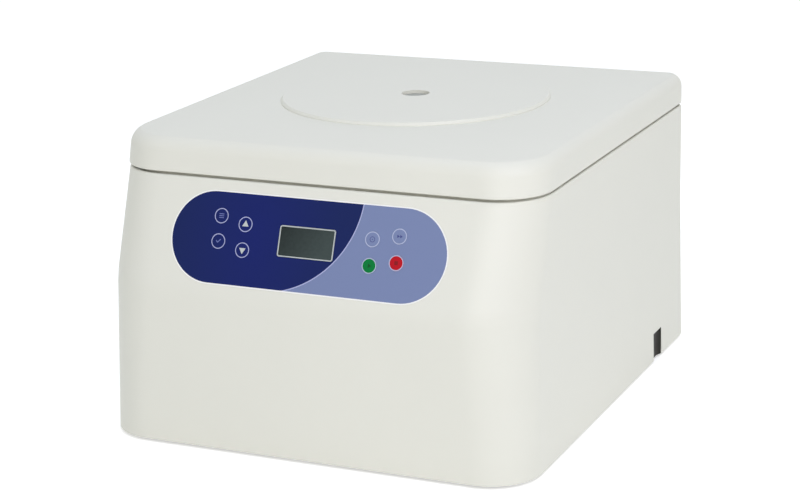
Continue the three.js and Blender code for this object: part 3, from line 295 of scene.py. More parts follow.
def turned(profile, place=(0, 0, 0), steps=TURN_STEPS, closed=False):
    """A solid of revolution about a vertical line through place"""
    bm = bmesh.new()
    corners = [bm.verts.new((radius, 0, height)) for radius, height in profile]
    pairs = list(zip(corners, corners[1:]))
    if closed:
        pairs.append((corners[-1], corners[0]))
    edges = [bm.edges.new(pair) for pair in pairs]
    bmesh.ops.spin(bm, geom=corners + edges, cent=(0, 0, 0), axis=(0, 0, 1), dvec=(0, 0, 0),
                   angle=2 * math.pi, steps=steps, use_merge=True)
    bmesh.ops.remove_doubles(bm, verts=bm.verts, dist=MERGE)
    bmesh.ops.recalc_face_normals(bm, faces=bm.faces)
    bmesh.ops.translate(bm, verts=bm.verts, vec=place)
    return bm


def rod(radius, low, high, x=0.0, y=0.0, steps=ROD_STEPS):
    return turned([(0, low), (radius, low), (radius, high), (0, high)], (x, y, 0), steps)


def ring(inner, outer, low, high, x=0.0, y=0.0, steps=TURN_STEPS):
    profile = [(inner, low), (outer, low), (outer, high), (inner, high)]
    return turned(profile, (x, y, 0), steps, closed=True)


def block(low, high):
    bm = bmesh.new()
    bmesh.ops.create_cube(bm, size=1)
    low, high = Vector(low), Vector(high)
    size = high - low
    return moved(bm, Matrix.Translation((low + high) / 2) @ Matrix.Diagonal((*size, 1)))


def span(side, near, far, middle=0.0):
    """The two ends, in order, of what lies from near to far on one side of the middle"""
    return sorted([middle + side * near, middle + side * far])


def round_corners(bm, corners, radius, steps):
    bmesh.ops.bevel(bm, geom=corners, offset=radius, offset_type="OFFSET", segments=steps,
                    profile=0.5, affect="VERTICES", material=-1, clamp_overlap=False)


def slab(corners, low, high, rounding=0.0, steps=CORNER_STEPS):
    """A flat plate from its outline, with its corners rounded alike"""
    bm = bmesh.new()
    verts = [bm.verts.new((x, y, low)) for x, y in corners]
    bm.faces.new(verts)
    if rounding:
        round_corners(bm, verts, rounding, steps)
        bmesh.ops.remove_doubles(bm, verts=bm.verts, dist=MERGE)
    grown = bmesh.ops.extrude_face_region(bm, geom=list(bm.faces))["geom"]
    lifted = [part for part in grown if isinstance(part, bmesh.types.BMVert)]
    bmesh.ops.translate(bm, verts=lifted, vec=(0, 0, high - low))
    bmesh.ops.recalc_face_normals(bm, faces=bm.faces)
    return bm


def oblong(half_length, half_height, rounding, low, high, x=0.0, y=0.0, steps=CORNER_STEPS):
    corners = [(x - half_length, y - half_height), (x + half_length, y - half_height),
               (x + half_length, y + half_height), (x - half_length, y + half_height)]
    return slab(corners, low, high, rounding, steps)


# Plan of the body and lid
def half_width(height):
    return HOUSING_HIGH.x - SIDE_DRAFT * (min(height, CREASE) - FLOOR_GAP)


def front_corner(height):
    if height < CREASE:
        share = (height - FLOOR_GAP) / (CREASE - FLOOR_GAP)
        return FOOT_CORNER + (CREASE_CORNER - FOOT_CORNER) * share
    if height >= SEAM:
        return LID_CORNER + (LID_TOP_CORNER - LID_CORNER) * (height - SEAM) / LID_HEIGHT
    return CREASE_CORNER + (FRONT_CORNER - CREASE_CORNER) * (height - CREASE) / SLOPE_RISE


def sharp_lean(height):
    on_slope = max(0.0, min(height, SEAM) - CREASE) * FRONT_LEAN / SLOPE_RISE
    on_lid = max(0.0, height - SEAM) * LID_LEAN / LID_HEIGHT
    return on_slope + on_lid


def soft_lean(height):
    past = height - CREASE + CREASE_BLEND
    if 0 < past < 2 * CREASE_BLEND:
        return FRONT_LEAN / SLOPE_RISE * past * past / (4 * CREASE_BLEND)
    return sharp_lean(height)


def outline(height, inset=0.0, lean=None):
    front = FRONT + (soft_lean(height) if lean is None else lean) + inset
    return {"half": half_width(height) - inset, "front": front, "rear": REAR - inset,
            "front_corner": max(front_corner(height) - inset, LEAST_CORNER),
            "rear_corner": max(REAR_CORNER - inset, LEAST_CORNER)}


def inner_outline(height):
    lean_angle = math.atan2(FRONT_LEAN, SLOPE_RISE)
    extra = WALL / math.cos(lean_angle) - WALL if height > CREASE else 0.0
    return outline(height, WALL, sharp_lean(height) + extra)


def ring_place(spot, height, plan):
    side, end, normal = spot
    corner = plan["front_corner"] if end < 0 else plan["rear_corner"]
    edge = plan["front"] + corner if end < 0 else plan["rear"] - corner
    return Vector((side * (plan["half"] - corner) + corner * normal.x, edge + corner * normal.y, height))


def plan_solid(levels):
    """A closed solid over the body's plan, through outlines from the lowest to the highest"""
    bm = bmesh.new()
    corners = [bm.verts.new((side, end, 0)) for side, end in ((-1, -1), (1, -1), (1, 1), (-1, 1))]
    bm.faces.new(corners)
    unit = 0.5
    round_corners(bm, corners, unit, CORNER_STEPS)
    bm.faces.ensure_lookup_table()
    face = bm.faces[0]
    spots = {}
    for vert in face.verts:
        side = math.copysign(1, vert.co.x)
        end = math.copysign(1, vert.co.y)
        spots[vert] = (side, end, (vert.co - Vector((side, end, 0)) * unit).normalized())
    for vert, spot in spots.items():
        vert.co = ring_place(spot, *levels[0])
    for count, level in enumerate(levels[1:]):
        below = {vert.co.copy().freeze(): spot for vert, spot in spots.items()}
        grown = bmesh.ops.extrude_face_region(bm, geom=[face])["geom"]
        if count:
            bmesh.ops.delete(bm, geom=[face], context="FACES_ONLY")
        face = next(part for part in grown if isinstance(part, bmesh.types.BMFace))
        spots = {vert: below[vert.co.copy().freeze()] for vert in face.verts}
        for vert, spot in spots.items():
            vert.co = ring_place(spot, *level)
    bmesh.ops.recalc_face_normals(bm, faces=bm.faces)
    return bm


def edge_levels(base, points):
    """The outlines of a rounded edge, from points of inset and rise above its base"""
    return [(base + rise, outline(base + rise, inset)) for inset, rise in points]


def straight_solid(plan, low, high):
    return plan_solid([(low, plan), (high, plan)])


# Materials
def colour(code):
    """An sRGB hex value as the linear colour that the shader works in"""
    shares = [int(code[start:start + 2], 16) / 255 for start in (1, 3, 5)]
    return [share / 12.92 if share <= 0.04045 else ((share + 0.055) / 1.055) ** 2.4
            for share in shares] + [1.0]


def add_node(tree, kind, settings=None, links=None):
    """A node with its settings, by property, socket name or number, and its links from sockets, or from
    nodes where the first output is meant"""
    node = tree.nodes.new("ShaderNode" + kind)
    for name, value in (settings or {}).items():
        if isinstance(name, str) and hasattr(node, name):
            setattr(node, name, value)
        else:
            node.inputs[name].default_value = value
    for socket, source in (links or {}).items():
        output = source.outputs[0] if isinstance(source, bpy.types.Node) else source
        tree.links.new(output, node.inputs[socket])
    return node


def new_material(name, base, roughness, ior=None, specular=0.5, more=None):
    """A material, its tree and shader, and where each point is in the piece. Without an IOR it is a metal"""
    look = bpy.data.materials.new(name)
    look.use_nodes = True
    tree = look.node_tree
    shader = tree.nodes["Principled BSDF"]
    kind = {"IOR": ior, "Specular IOR Level": specular} if ior else {"Metallic": 1.0}
    settings = {"Base Color": colour(base), "Roughness": roughness, **kind, **(more or {})}
    for socket, value in settings.items():
        shader.inputs[socket].default_value = value
    return look, tree, shader, add_node(tree, "TexCoord").outputs["Object"]


def per_metre(size):
    """The scale of a pattern whose features are size millimetres across"""
    return 1 / (size * MM)


def tint_by(tree, shader, share, dark, light):
    tint = add_node(tree, "Mix", {"data_type": "RGBA", 6: colour(dark), 7: colour(light)}, {0: share})
    tree.links.new(tint.outputs[2], shader.inputs["Base Color"])


def roughen_by(tree, shader, share, smooth, rough):
    spread = add_node(tree, "MapRange", {"To Min": smooth, "To Max": rough}, {"Value": share})
    tree.links.new(spread.outputs["Result"], shader.inputs["Roughness"])


def raise_by(tree, shader, share, height, strength=0.5):
    """A surface relief of that height, in millimetres"""
    bump = add_node(tree, "Bump", {"Strength": strength, "Distance": height * MM}, {"Height": share})
    tree.links.new(bump.outputs["Normal"], shader.inputs["Normal"])


def add_grain(tree, shader, place, size, height, strength=0.5, stretch=(1, 1, 1)):
    """A fine relief of that grain size and height, both in millimetres"""
    drawn = add_node(tree, "Mapping", {"Scale": stretch}, {"Vector": place})
    noise = add_node(tree, "TexNoise", {"Scale": per_metre(size), "Detail": 2.0}, {"Vector": drawn})
    raise_by(tree, shader, noise, height, strength)


def add_cloud(tree, shader, place, size, dark, light, rough=None):
    """Slow changes of colour, and of roughness where two values are given"""
    noise = add_node(tree, "TexNoise", {"Scale": per_metre(size), "Detail": 3.0}, {"Vector": place})
    tint_by(tree, shader, noise, dark, light)
    if rough:
        roughen_by(tree, shader, noise, *rough)


def add_rings(tree, shader, place, size, detail, rough, height, about_spindle=True):
    """A tool's fine rings about the spindle, or bands up and down for what isn't centred on it"""
    middle = {"vector_type": "TEXTURE", "Location": SPINDLE * MM}
    centred = add_node(tree, "Mapping", middle, {"Vector": place})
    parts = add_node(tree, "SeparateXYZ", links={"Vector": centred})
    source = {"Z": parts.outputs["Z"]}
    if about_spindle:
        level = add_node(tree, "CombineXYZ", links={"X": parts.outputs["X"], "Y": parts.outputs["Y"]})
        radius = add_node(tree, "VectorMath", {"operation": "LENGTH"}, {0: level})
        source["X"] = radius.outputs["Value"]
    rings = add_node(tree, "CombineXYZ", links=source)
    noise = add_node(tree, "TexNoise", {"Scale": per_metre(size), "Detail": detail}, {"Vector": rings})
    roughen_by(tree, shader, noise, *rough)
    raise_by(tree, shader, noise, height)


def surface(name, base, roughness, ior=None, specular=0.5, more=None, cloud=None, grain=None, rings=None):
    """A material with the effects for which it has values"""
    look, *where = new_material(name, base, roughness, ior, specular, more)
    for add_effect, values in ((add_cloud, cloud), (add_grain, grain), (add_rings, rings)):
        if values:
            add_effect(*where, *values)
    return look


def textured_abs(name, dark, light, specular=0.5):
    # Injection-moulded ABS from a spark-eroded tool: an even satin skin with a grain of about
    # half a millimetre, drawn a little coarser so that it shows, and slow flow shading
    return surface(name, light, 0.42, 1.54, specular, cloud=(90.0, dark, light, (0.39, 0.47)),
                   grain=(0.8, 0.012))


def printed_polyester(name, base, glow=None):
    # Screen-printed polyester film with a velvet finish: flat dense ink, the matt skin breaks up
    # what it mirrors, so the gloss is set well below that of a smooth film
    look, tree, shader, place = new_material(name, base, 0.5, 1.57, 0.1)
    add_grain(tree, shader, place, 0.5, 0.006)
    if glow:
        middle = PANEL_PLACE @ Vector((GLOW_ACROSS, GLOW_UP, 0)) * MM
        size = (GLOW_REACH * MM, 2 * GLOW_REACH * MM, 1)
        flat = add_node(tree, "Mapping", {"vector_type": "TEXTURE", "Location": middle,
                                          "Rotation": (PANEL_TILT, 0, 0), "Scale": size}, {"Vector": place})
        ball = add_node(tree, "TexGradient", {"gradient_type": "SPHERICAL"}, {"Vector": flat})
        tint_by(tree, shader, ball.outputs["Fac"], base, glow)
    return look


def matt_ink(name, base):
    # Screen ink on film: flat and almost matt, a hair's breadth thick
    return surface(name, base, 0.5, 1.5, 0.15, grain=(0.4, 0.003))


def smoked_acrylic():
    # Smoked acrylic over a dark display: a flat grey-green gloss, with a painted reflection that lightens it
    # low on the right and a random mottle
    look, tree, shader, place = new_material("smoked_acrylic", "#343A3B", 0.2, 1.49, 0.12)
    low, high = node_box("display_glass")
    size = ((high.x - low.x) * 1.1 * MM, 1, 1)
    corner = Vector((low.x, high.y, high.z)) * MM
    flat = add_node(tree, "Mapping", {"vector_type": "TEXTURE", "Location": corner, "Rotation": (0, 0.6, 0),
                                      "Scale": size}, {"Vector": place})
    # The gradient is a painted reflection, lighter low on the right; the noise adds a random mottle
    reflection_ramp = add_node(tree, "TexGradient", {}, {"Vector": flat})
    noise = add_node(tree, "TexNoise", {"Scale": per_metre(3.0), "Detail": 4.0}, {"Vector": place})
    reflection_and_mottle = add_node(tree, "Math", {"operation": "MULTIPLY_ADD", 1: 0.35},
                      {0: noise, 2: reflection_ramp.outputs["Fac"]})
    tint_by(tree, shader, reflection_and_mottle, "#1F2626", "#414C4B")
    return look


def solder_mask():
    # Green solder mask over glass laminate, with copper runs that show as paler lines
    look, tree, shader, place = new_material("solder_mask", "#1E5A35", 0.35, 1.5)
    bricks = add_node(tree, "TexBrick",
                      {"Scale": per_metre(6.0), "Color1": colour("#1E5A35"), "Color2": colour("#216139"),
                       "Mortar": colour("#2F7A4A"), "Mortar Size": 0.06}, {"Vector": place})
    tree.links.new(bricks.outputs["Color"], shader.inputs["Base Color"])
    return look


def winding_varnish():
    # Varnished copper winding: turns of half-millimetre wire round the coil
    look, tree, shader, place = new_material("winding_varnish", "#8C4F26", 0.3, 1.5)
    turns = per_metre(0.5) / (2 * math.pi)
    wave = add_node(tree, "TexWave", {"bands_direction": "Z", "Scale": turns}, {"Vector": place})
    tint_by(tree, shader, wave.outputs["Fac"], "#6E3B1A", "#A5622F")
    return look


# A cloud has a size, two colours and two roughnesses, a grain a size, height and strength, and rings a
# size, detail, two roughnesses and a height
LOOKS = {
    "shell": textured_abs("textured_abs_cream", "#E5E5DC", "#E9E9E0"),
    "liner": textured_abs("textured_abs_grey", "#D0D2CE", "#D6D8D4"),
    # Near-black grip pocket: partly the dark plastic, partly the shade of the hollow behind the notch,
    # painted into its colour
    "pocket": textured_abs("textured_abs_dark_painted_shade", "#15130C", "#1D1A13", 0.1),
    "film": printed_polyester("printed_polyester_navy", "#16245A", "#162267"),
    "film_pale": printed_polyester("printed_polyester_lilac", "#7C89B1"),
    "film_green": printed_polyester("printed_polyester_green", "#027A38"),
    "film_red": printed_polyester("printed_polyester_red", "#BC1624"),
    "ink_white": matt_ink("screen_ink_white", "#FAFAF9"),
    "ink_lilac": matt_ink("screen_ink_lilac", "#AFB4DC"),
    "ink_mist": matt_ink("screen_ink_mist", "#B7BFDC"),
    "ink_slate": matt_ink("screen_ink_slate", "#4A5189"),
    "ink_dim": matt_ink("screen_ink_dim", "#6F79B4"),
    "ink_deep_green": matt_ink("screen_ink_deep_green", "#075226"),
    "ink_deep_red": matt_ink("screen_ink_deep_red", "#8A1820"),
    # The display's moulded rim, in pale grey and as matt as the ink
    "rim": matt_ink("moulded_rim_grey", "#C2C8C8"),
    "pane": smoked_acrylic(),
    # Frosted acrylic over the dark chamber: pale grey, it lets a little light through
    "window": surface("frosted_acrylic", "#B4B6B0", 0.45, 1.49, 0.15, more={"Transmission Weight": 0.15},
                      cloud=(6.0, "#ADAFA9", "#BBBDB7")),
    # Spun stainless sheet: fine rings left by the roller, finer than can show and so drawn coarser
    "bowl": surface("spun_stainless", "#C3C5C8", 0.26, rings=(0.7, 3.0, (0.2, 0.34), 0.01)),
    # Turned and clear-anodised aluminium: pale, satin, with the lathe tool's fine rings
    "rotor": surface("turned_aluminium_rotor", "#C9CCD0", 0.34, rings=(0.5, 2.0, (0.28, 0.42), 0.008)),
    # The same on the buckets, which swing, so that their rings go up and down in bands
    "bucket": surface("turned_aluminium_bucket", "#C9CCD0", 0.34,
                      rings=(0.5, 2.0, (0.28, 0.42), 0.008, False)),
    # Zinc-plated sheet steel: a cool grey metal with a faint cloudy passivation
    "zinc": surface("zinc_plated_steel", "#B4B8BA", 0.38, cloud=(14.0, "#A7ABAD", "#C0C4C6", (0.3, 0.48))),
    # Black powder coat on sheet steel: matt, with a fine orange peel
    "coated": surface("powder_coated_steel", "#2A2A28", 0.55, 1.5,
                      cloud=(12.0, "#262624", "#2F2F2C", (0.5, 0.62)), grain=(0.9, 0.02)),
    # Ground stainless bar: bright, with short fine lines
    "stainless": surface("ground_stainless", "#C8CACC", 0.22, grain=(0.6, 0.006, 0.5, (1, 1, 6))),
    # Black nitrile rubber: dull, with a dusty bloom in soft patches
    "rubber": surface("nitrile_rubber", "#26272A", 0.7, 1.52,
                      cloud=(10.0, "#212225", "#2D2E31", (0.62, 0.8)), grain=(0.7, 0.03, 0.6)),
    # Moulded silicone sleeve: soft blue, almost without gloss
    "sleeve": surface("moulded_silicone", "#3E62A6", 0.55, 1.41,
                      more={"Subsurface Weight": 0.1, "Subsurface Radius": (0.001, 0.001, 0.002)},
                      cloud=(8.0, "#385B9C", "#4569AE")),
    # Black glass-filled nylon of switches and sockets: finely grained, half matt
    "nylon": surface("glass_filled_nylon", "#1B1C1E", 0.44, 1.53,
                     cloud=(5.0, "#18191B", "#202123", (0.38, 0.5)), grain=(0.4, 0.01)),
    # Bright nickel plate on pins and screw heads
    "nickel": surface("nickel_plate", "#CFCBC2", 0.2, cloud=(4.0, "#C6C2B9", "#D6D2CA", (0.16, 0.28))),
    "board": solder_mask(),
    "coil": winding_varnish(),
    # Sprayed black enamel on the motor: satin with a slight orange peel
    "enamel": surface("motor_enamel", "#232529", 0.4, 1.5, cloud=(20.0, "#202226", "#282A2F", (0.34, 0.46)),
                      grain=(1.5, 0.02, 0.4)),
}


# Placing pieces
def soften_edges(piece, width):
    edges = piece.modifiers.new("edges", "BEVEL")
    edges.width = width * MM
    edges.segments = 2
    edges.limit_method = "ANGLE"
    edges.angle_limit = SHARP
    edges.use_clamp_overlap = True
    shading = piece.modifiers.new("shading", "WEIGHTED_NORMAL")
    shading.keep_sharp = True


def add_piece(name, bm, body, looks, stands_for=None, edge=0.4):
    """A finished piece in metres: its looks, edges, body, and the node that it stands for"""
    piece = solid_object(moved(bm, Matrix.Scale(MM, 4)), name)
    for polygon in piece.data.polygons:
        polygon.use_smooth = True
    for look in looks:
        piece.data.materials.append(LOOKS[look])
    if edge:
        soften_edges(piece, edge)
    else:
        piece.data.set_sharp_from_angle(angle=SHARP)
    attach(piece, body)
    if stands_for:
        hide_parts(stands_for)


def dress(node, look):
    """A node whose shape is right keeps it, and gets its look and soft edges"""
    piece = frame["nodes"][node]
    piece.material_slots[0].material = LOOKS[look]
    weld = piece.modifiers.new("weld", "WELD")
    weld.merge_threshold = 0.01 * MM
    soften_edges(piece, 0.3)


# Body moulding
def grip_notch(side):
    low, high = span(side, HOUSING_HIGH.x - OVERRUN, HOUSING_HIGH.x + OVERRUN)
    return block((low, GRIP_FRONT, FLOOR_GAP - OVERRUN), (high, GRIP_REAR, GRIP_TOP))


def grip_pocket(side):
    """A dark hollow insert that fills the notch, its colour partly painted shade, thin enough to clear the
    base pan
    """
    face = half_width(GRIP_TOP) - 2 * GRIP_FIT
    half = GRIP_LENGTH / 2 - GRIP_LAND
    radius = (half ** 2 + GRIP_SCOOP ** 2) / (2 * GRIP_SCOOP)
    low, high = span(side, face - GRIP_SCOOP - GRIP_SHELL, face)
    insert = block((low, GRIP_FRONT + GRIP_FIT, FLOOR_GAP), (high, GRIP_REAR - GRIP_FIT, GRIP_TOP - GRIP_FIT))
    centre = side * (face - GRIP_SCOOP + radius)
    scoop = rod(radius, -OVERRUN, 3 * OVERRUN, centre, GRIP_REAR - GRIP_LENGTH / 2, TURN_STEPS)
    return cut(insert, scoop)


def vent_slot(row):
    middle = SEAM - VENT_BELOW_SEAM + (row - (VENT_ROWS - 1) / 2) * VENT_PITCH
    x = VENT_FROM_SIDE - HOUSING_HIGH.x
    flat = oblong(VENT_LENGTH / 2, VENT_HEIGHT / 2, VENT_HEIGHT / 2, -OVERRUN, OVERRUN, x, middle, EDGE_STEPS)
    return moved(flat, Matrix.Translation((0, REAR, 0)) @ Matrix.Rotation(QUARTER, 4, "X"))


def hinge_slot(side):
    half = KNUCKLE_WIDTH / 2 + HINGE_GAP
    x = side * HINGE_X
    return block((x - half, STEM_FRONT - HINGE_GAP, DECK_LOW.z), (x + half, REAR - WALL, BODY_TOP + OVERRUN))


def power_opening():
    low, high = node_box("power_sheet")
    return block((low.x + SHEET_LAP, REAR - OVERRUN, low.z + SHEET_LAP),
                 (high.x - SHEET_LAP, REAR + OVERRUN, high.z - SHEET_LAP))


def film_block(margin, low=-OVERRUN, high=OVERRUN):
    """A block over the film's outline, wider all round by the margin"""
    end = PANEL_HALF_HEIGHT + margin
    return oblong(PANEL_HALF_LENGTH + margin, end, end, low, high)


def panel_cuts():
    low, high = node_box("display_glass")
    window = block((low.x - SEAT, -DISPLAY_HALF_HEIGHT, -OVERRUN), (high.x + SEAT, DISPLAY_HALF_HEIGHT, 0))
    return [moved(cut, PANEL_PLACE) for cut in (film_block(SEAT, -PANEL_RECESS), window)]


def body_moulding():
    blend = [CREASE + CREASE_BLEND * step / 4 for step in range(-4, 5)]
    levels = [(height, outline(height)) for height in [FLOOR_GAP, *blend]]
    levels += edge_levels(BODY_TOP - TOP_EDGE, arc(TOP_EDGE, 0, TOP_EDGE, 2 * QUARTER, QUARTER))
    cavity = [(height, inner_outline(height)) for height in (FLOOR_GAP - OVERRUN, CREASE, DECK_HIGH.z + SEAT)]
    above = BODY_TOP + OVERRUN
    rim = straight_solid(outline(BODY_TOP, RIM_WIDTH), DECK_LOW.z, above)
    cuts = [plan_solid(cavity), rim, power_opening(), hinge_slot(-1), hinge_slot(1), grip_notch(-1),
            grip_notch(1), *[vent_slot(row) for row in range(VENT_ROWS)], *panel_cuts()]
    floor = BODY_TOP - CHANNEL_DEPTH
    shift = Matrix.Translation((LIP_SHIFT, 0, 0))
    inside = outline(BODY_TOP, LIP_INSET)
    core = moved(straight_solid(inside, floor - OVERRUN, BODY_TOP + 2 * OVERRUN), shift)
    channel = cut(straight_solid(outline(BODY_TOP, CHANNEL_INSET), floor, above), core)
    lip = moved(straight_solid(inside, floor, SEAM - LIP_GAP), shift)
    return cut(joined(plan_solid(levels), lip), channel, *cuts)


# Lid moulding
def disc_solid():
    radius = CHAMBER_RADIUS - DISC_INSET
    base = DISC_LOW - LID_WALL / 2
    profile = [(0, base), (radius, base), (radius, DISC_LOW + SEAT), (radius - DISC_EDGE, DISC_HIGH)]
    for share in (0.9, 0.75, 0.5, 0.25, 0):
        profile.append((radius * share, DISC_HIGH + DISC_DOME * (1 - share ** 2)))
    return turned(profile, SPINDLE)


def hinge_notch(side, low, high, front):
    half = PIN_HALF + HINGE_GAP
    x = side * HINGE_X
    return block((x - half, front, low), (x + half, REAR + OVERRUN, high))


def hinge_rod(radius, low, high, steps=ROD_STEPS):
    """A rod along the lid's hinge line"""
    turn = Matrix.Translation((0, HINGE.y, HINGE.z)) @ Matrix.Rotation(QUARTER, 4, "Y")
    return moved(rod(radius, low, high, steps=steps), turn)


def rear_edge_round():
    half = HOUSING_HIGH.x + OVERRUN
    corner = block((-half, HINGE.y, SEAM - OVERRUN), (half, REAR + OVERRUN, HINGE.z))
    barrel = hinge_rod(HINGE_INSET, -half - OVERRUN, half + OVERRUN, TURN_STEPS)
    return cut(corner, barrel)


def lid_moulding():
    lower = arc(LID_LOWER_EDGE, LID_LOWER_EDGE, LID_LOWER_EDGE, 3 * QUARTER, 2 * QUARTER)
    radius = LID_FILLET / math.sin(LID_FILLET_TURN)
    upper = arc(radius, 0, radius, 2 * QUARTER, 2 * QUARTER - LID_FILLET_TURN, 2 * EDGE_STEPS)
    levels = edge_levels(SEAM, lower) + edge_levels(LID_TOP - LID_FILLET, upper)
    edge = radius * (1 - math.cos(LID_FILLET_TURN))
    for share in (0.25, 0.5, 0.75, 1.0):
        inset = edge + (CROWN_INSET - edge) * share
        levels.append((LID_TOP + CROWN * (1 - (1 - share) ** 2), outline(LID_TOP, inset)))
    shell = plan_solid(levels)
    for vert in shell.verts:
        # The top falls a little towards the rear
        vert.co.z -= LID_FALL * (vert.co.y - FRONT) / (REAR - FRONT) * max(0.0, vert.co.z - SEAM) / LID_HEIGHT
    under = [(SEAM - OVERRUN, outline(SEAM, LID_WALL)), (SEAM, outline(SEAM, LID_WALL)),
             (LID_TOP - LID_FILLET, outline(LID_TOP - LID_FILLET, LID_WALL)),
             (LID_TOP - LID_WALL, outline(LID_TOP - LID_WALL, LID_FILLET))]
    hole = rod(HOLE_RADIUS, LINER_HIGH.z, LID_HIGH.z + OVERRUN, AXIS.x, AXIS.y, TURN_STEPS)
    notches = [hinge_notch(side, SEAM - OVERRUN, HINGE.z + KNUCKLE_CLEAR, REAR - RIM_WIDTH)
               for side in (-1, 1)]
    return cut(joined(shell, disc_solid()), plan_solid(under), hole, rear_edge_round(), *notches)


def lid_inner_panel():
    low = LINER_LOW.z - OVERRUN
    high = LINER_HIGH.z + OVERRUN
    hole = rod(HOLE_RADIUS - PLUG_GAP + SEAT, low, high, AXIS.x, AXIS.y, TURN_STEPS)
    width = 2 * HOUSING_HIGH.x
    trim = block((-width, LINER_HIGH.y, low), (width, REAR + OVERRUN, high))
    notches = [hinge_notch(side, low, high, HINGE.y - KNUCKLE_CLEAR) for side in (-1, 1)]
    sheet = straight_solid(outline(LINER_HIGH.z, LID_WALL + SEAT), LINER_LOW.z, LINER_HIGH.z)
    return cut(sheet, hole, trim, *notches)


def sight_plug():
    radius = HOLE_RADIUS - PLUG_GAP
    low = node_box("sight_window")[0].z
    flange = LINER_HIGH.z + SEAT
    top = DISC_HIGH + DISC_DOME - PLUG_DROP
    profile = [(0, low), (radius, low), (radius, flange), (PLUG_FLANGE, flange),
               (PLUG_FLANGE, flange + LID_WALL), (radius, flange + LID_WALL), (radius, top), (0, top)]
    return turned(profile, SPINDLE)


# Control panel
def print_zone(radius):
    """The dark print: a disc, and all the film to the left of its centre"""
    disc = rod(radius, -OVERRUN, OVERRUN, ARC_ACROSS, ARC_UP, FINE_STEPS)
    reach = 2 * PANEL_HALF_LENGTH
    return joined(disc, block((-reach, -reach, -OVERRUN), (ARC_ACROSS, ARC_UP, OVERRUN)))


def display_block(inset, corner, low=-OVERRUN, high=OVERRUN):
    """A block over the display's outline, smaller all round by the inset"""
    return oblong(DISPLAY_HALF_LENGTH - inset, DISPLAY_HALF_HEIGHT - inset, corner, low, high, 0.0,
                  DISPLAY_UP, EDGE_STEPS)


def film_part(index, within=None, beyond=None):
    """The printed film inside one radius of its arc and outside another, in one of the film's looks"""
    sheet = film_block(-FILM_BORDER, FILM_LOW, FILM_TOP)
    cuts = [rod(KEY_RADIUS + KEY_GAP, -OVERRUN, OVERRUN, *key[:2], steps=KEY_STEPS) for key in KEYS.values()]
    cuts.append(display_block(-SEAT, DISPLAY_CORNER))
    if beyond:
        cuts.append(print_zone(beyond))
    part = cut(sheet, *cuts)
    return painted(combined(part, "INTERSECT", [print_zone(within)]) if within else part, index)


def painted(bm, index):
    for face in bm.faces:
        face.material_index = index
    return bm


def control_film():
    inner = ARC_RADIUS - ARC_HALF_LINE
    outer = ARC_RADIUS + ARC_HALF_LINE
    border = cut(film_block(FILM_REACH, FILM_LOW, FILM_TOP), film_block(-FILM_BORDER))
    return gathered([film_part(0, within=inner), film_part(1, beyond=outer), film_part(2, outer, inner),
                     painted(border, 3)])


def key_cap(across, up):
    low = KEY_PROUD - KEY_THICKNESS
    profile = [(0, KEY_STEM_LOW), (KEY_STEM, KEY_STEM_LOW), (KEY_STEM, low), (KEY_RADIUS, low)]
    profile += arc(KEY_RADIUS - KEY_EDGE, KEY_PROUD - KEY_EDGE, KEY_EDGE, 0, QUARTER, 3)
    profile += [(0, KEY_PROUD)]
    return turned(profile, (across, up, 0), KEY_STEPS)


def key_ring(across, up):
    return ring(KEY_RING - KEY_LINE, KEY_RING, *PRINT_LEVELS, across, up, KEY_STEPS)


def mark_triangle(across, up, size, turn=0.0):
    angles = [turn + step * 4 * QUARTER / 3 for step in range(3)]
    corners = [(size * math.cos(angle) + across, size * math.sin(angle) + up) for angle in angles]
    return slab(corners, *PRINT_LEVELS)


def mark_bar(across, up, half_length, half_height):
    return oblong(half_length, half_height, 0.0, *PRINT_LEVELS, across, up)


def key_marks(key, across, up):
    """A plain symbol for each key: bars, a tick, arrows, a ring, a pulse, run and halt"""
    if key == "key_menu":
        return [mark_bar(across, up + lift, 2.3, 0.35) for lift in (-1.6, 0, 1.6)]
    if key == "key_confirm":
        tick = [(-2.4, 0.2), (-1.8, 0.8), (-0.7, -0.4), (1.9, 2.1), (2.4, 1.5), (-0.7, -1.6)]
        return [slab([(x + across, y + up) for x, y in tick], *PRINT_LEVELS)]
    if key in ("key_up", "key_down"):
        return [mark_triangle(across, up, 3.5, QUARTER if key == "key_up" else -QUARTER)]
    if key == "key_mode":
        return [ring(1.9, 2.4, *PRINT_LEVELS, across, up, ROD_STEPS), mark_bar(across, up, 0.4, 0.4)]
    if key == "key_pulse":
        return [mark_triangle(across + shift, up, 1.6) for shift in (-1.2, 1.4)]
    if key == "key_start":
        return [mark_triangle(across, up, 2.2)]
    return [mark_bar(across, up, 1.6, 1.6)]


def display_rim():
    outer = display_block(0.0, DISPLAY_CORNER, FILM_LOW, DISPLAY_PROUD)
    return cut(outer, display_block(DISPLAY_RIM, DISPLAY_CORNER / 2))


def display_pane():
    inset = DISPLAY_RIM + SEAT / 3
    return display_block(inset, DISPLAY_CORNER / 2, FILM_LOW - PANE_DEPTH, DISPLAY_PROUD - PANE_DROP)


# Chamber
def bowl_skin(offset):
    fillet = FLOOR_FILLET + offset
    floor = BOWL_FLOOR - offset
    wall = CHAMBER_RADIUS + offset
    skin = [(HUB_HOLE, floor + HUB_RISE), (HUB_RADIUS * HUB_TOP_SHARE, floor + HUB_RISE), (HUB_RADIUS, floor)]
    return skin + arc(wall - fillet, floor + fillet, fillet, -QUARTER, 0, 2 * EDGE_STEPS)


def chamber_bowl():
    low = DECK_HIGH.z + SEAT
    high = low + SHEET
    roll = arc(CHAMBER_RADIUS + FLANGE_ROLL, high - FLANGE_ROLL, FLANGE_ROLL, 2 * QUARTER, QUARTER,
               SMALL_STEPS)
    rim = [(CHAMBER_RADIUS + FLANGE_WIDTH, high), (CHAMBER_RADIUS + FLANGE_WIDTH, low)]
    outer = [(CHAMBER_RADIUS + SHEET, low)] + bowl_skin(SHEET)[::-1]
    return turned(bowl_skin(0) + roll + rim + outer, SPINDLE, FINE_STEPS, closed=True)


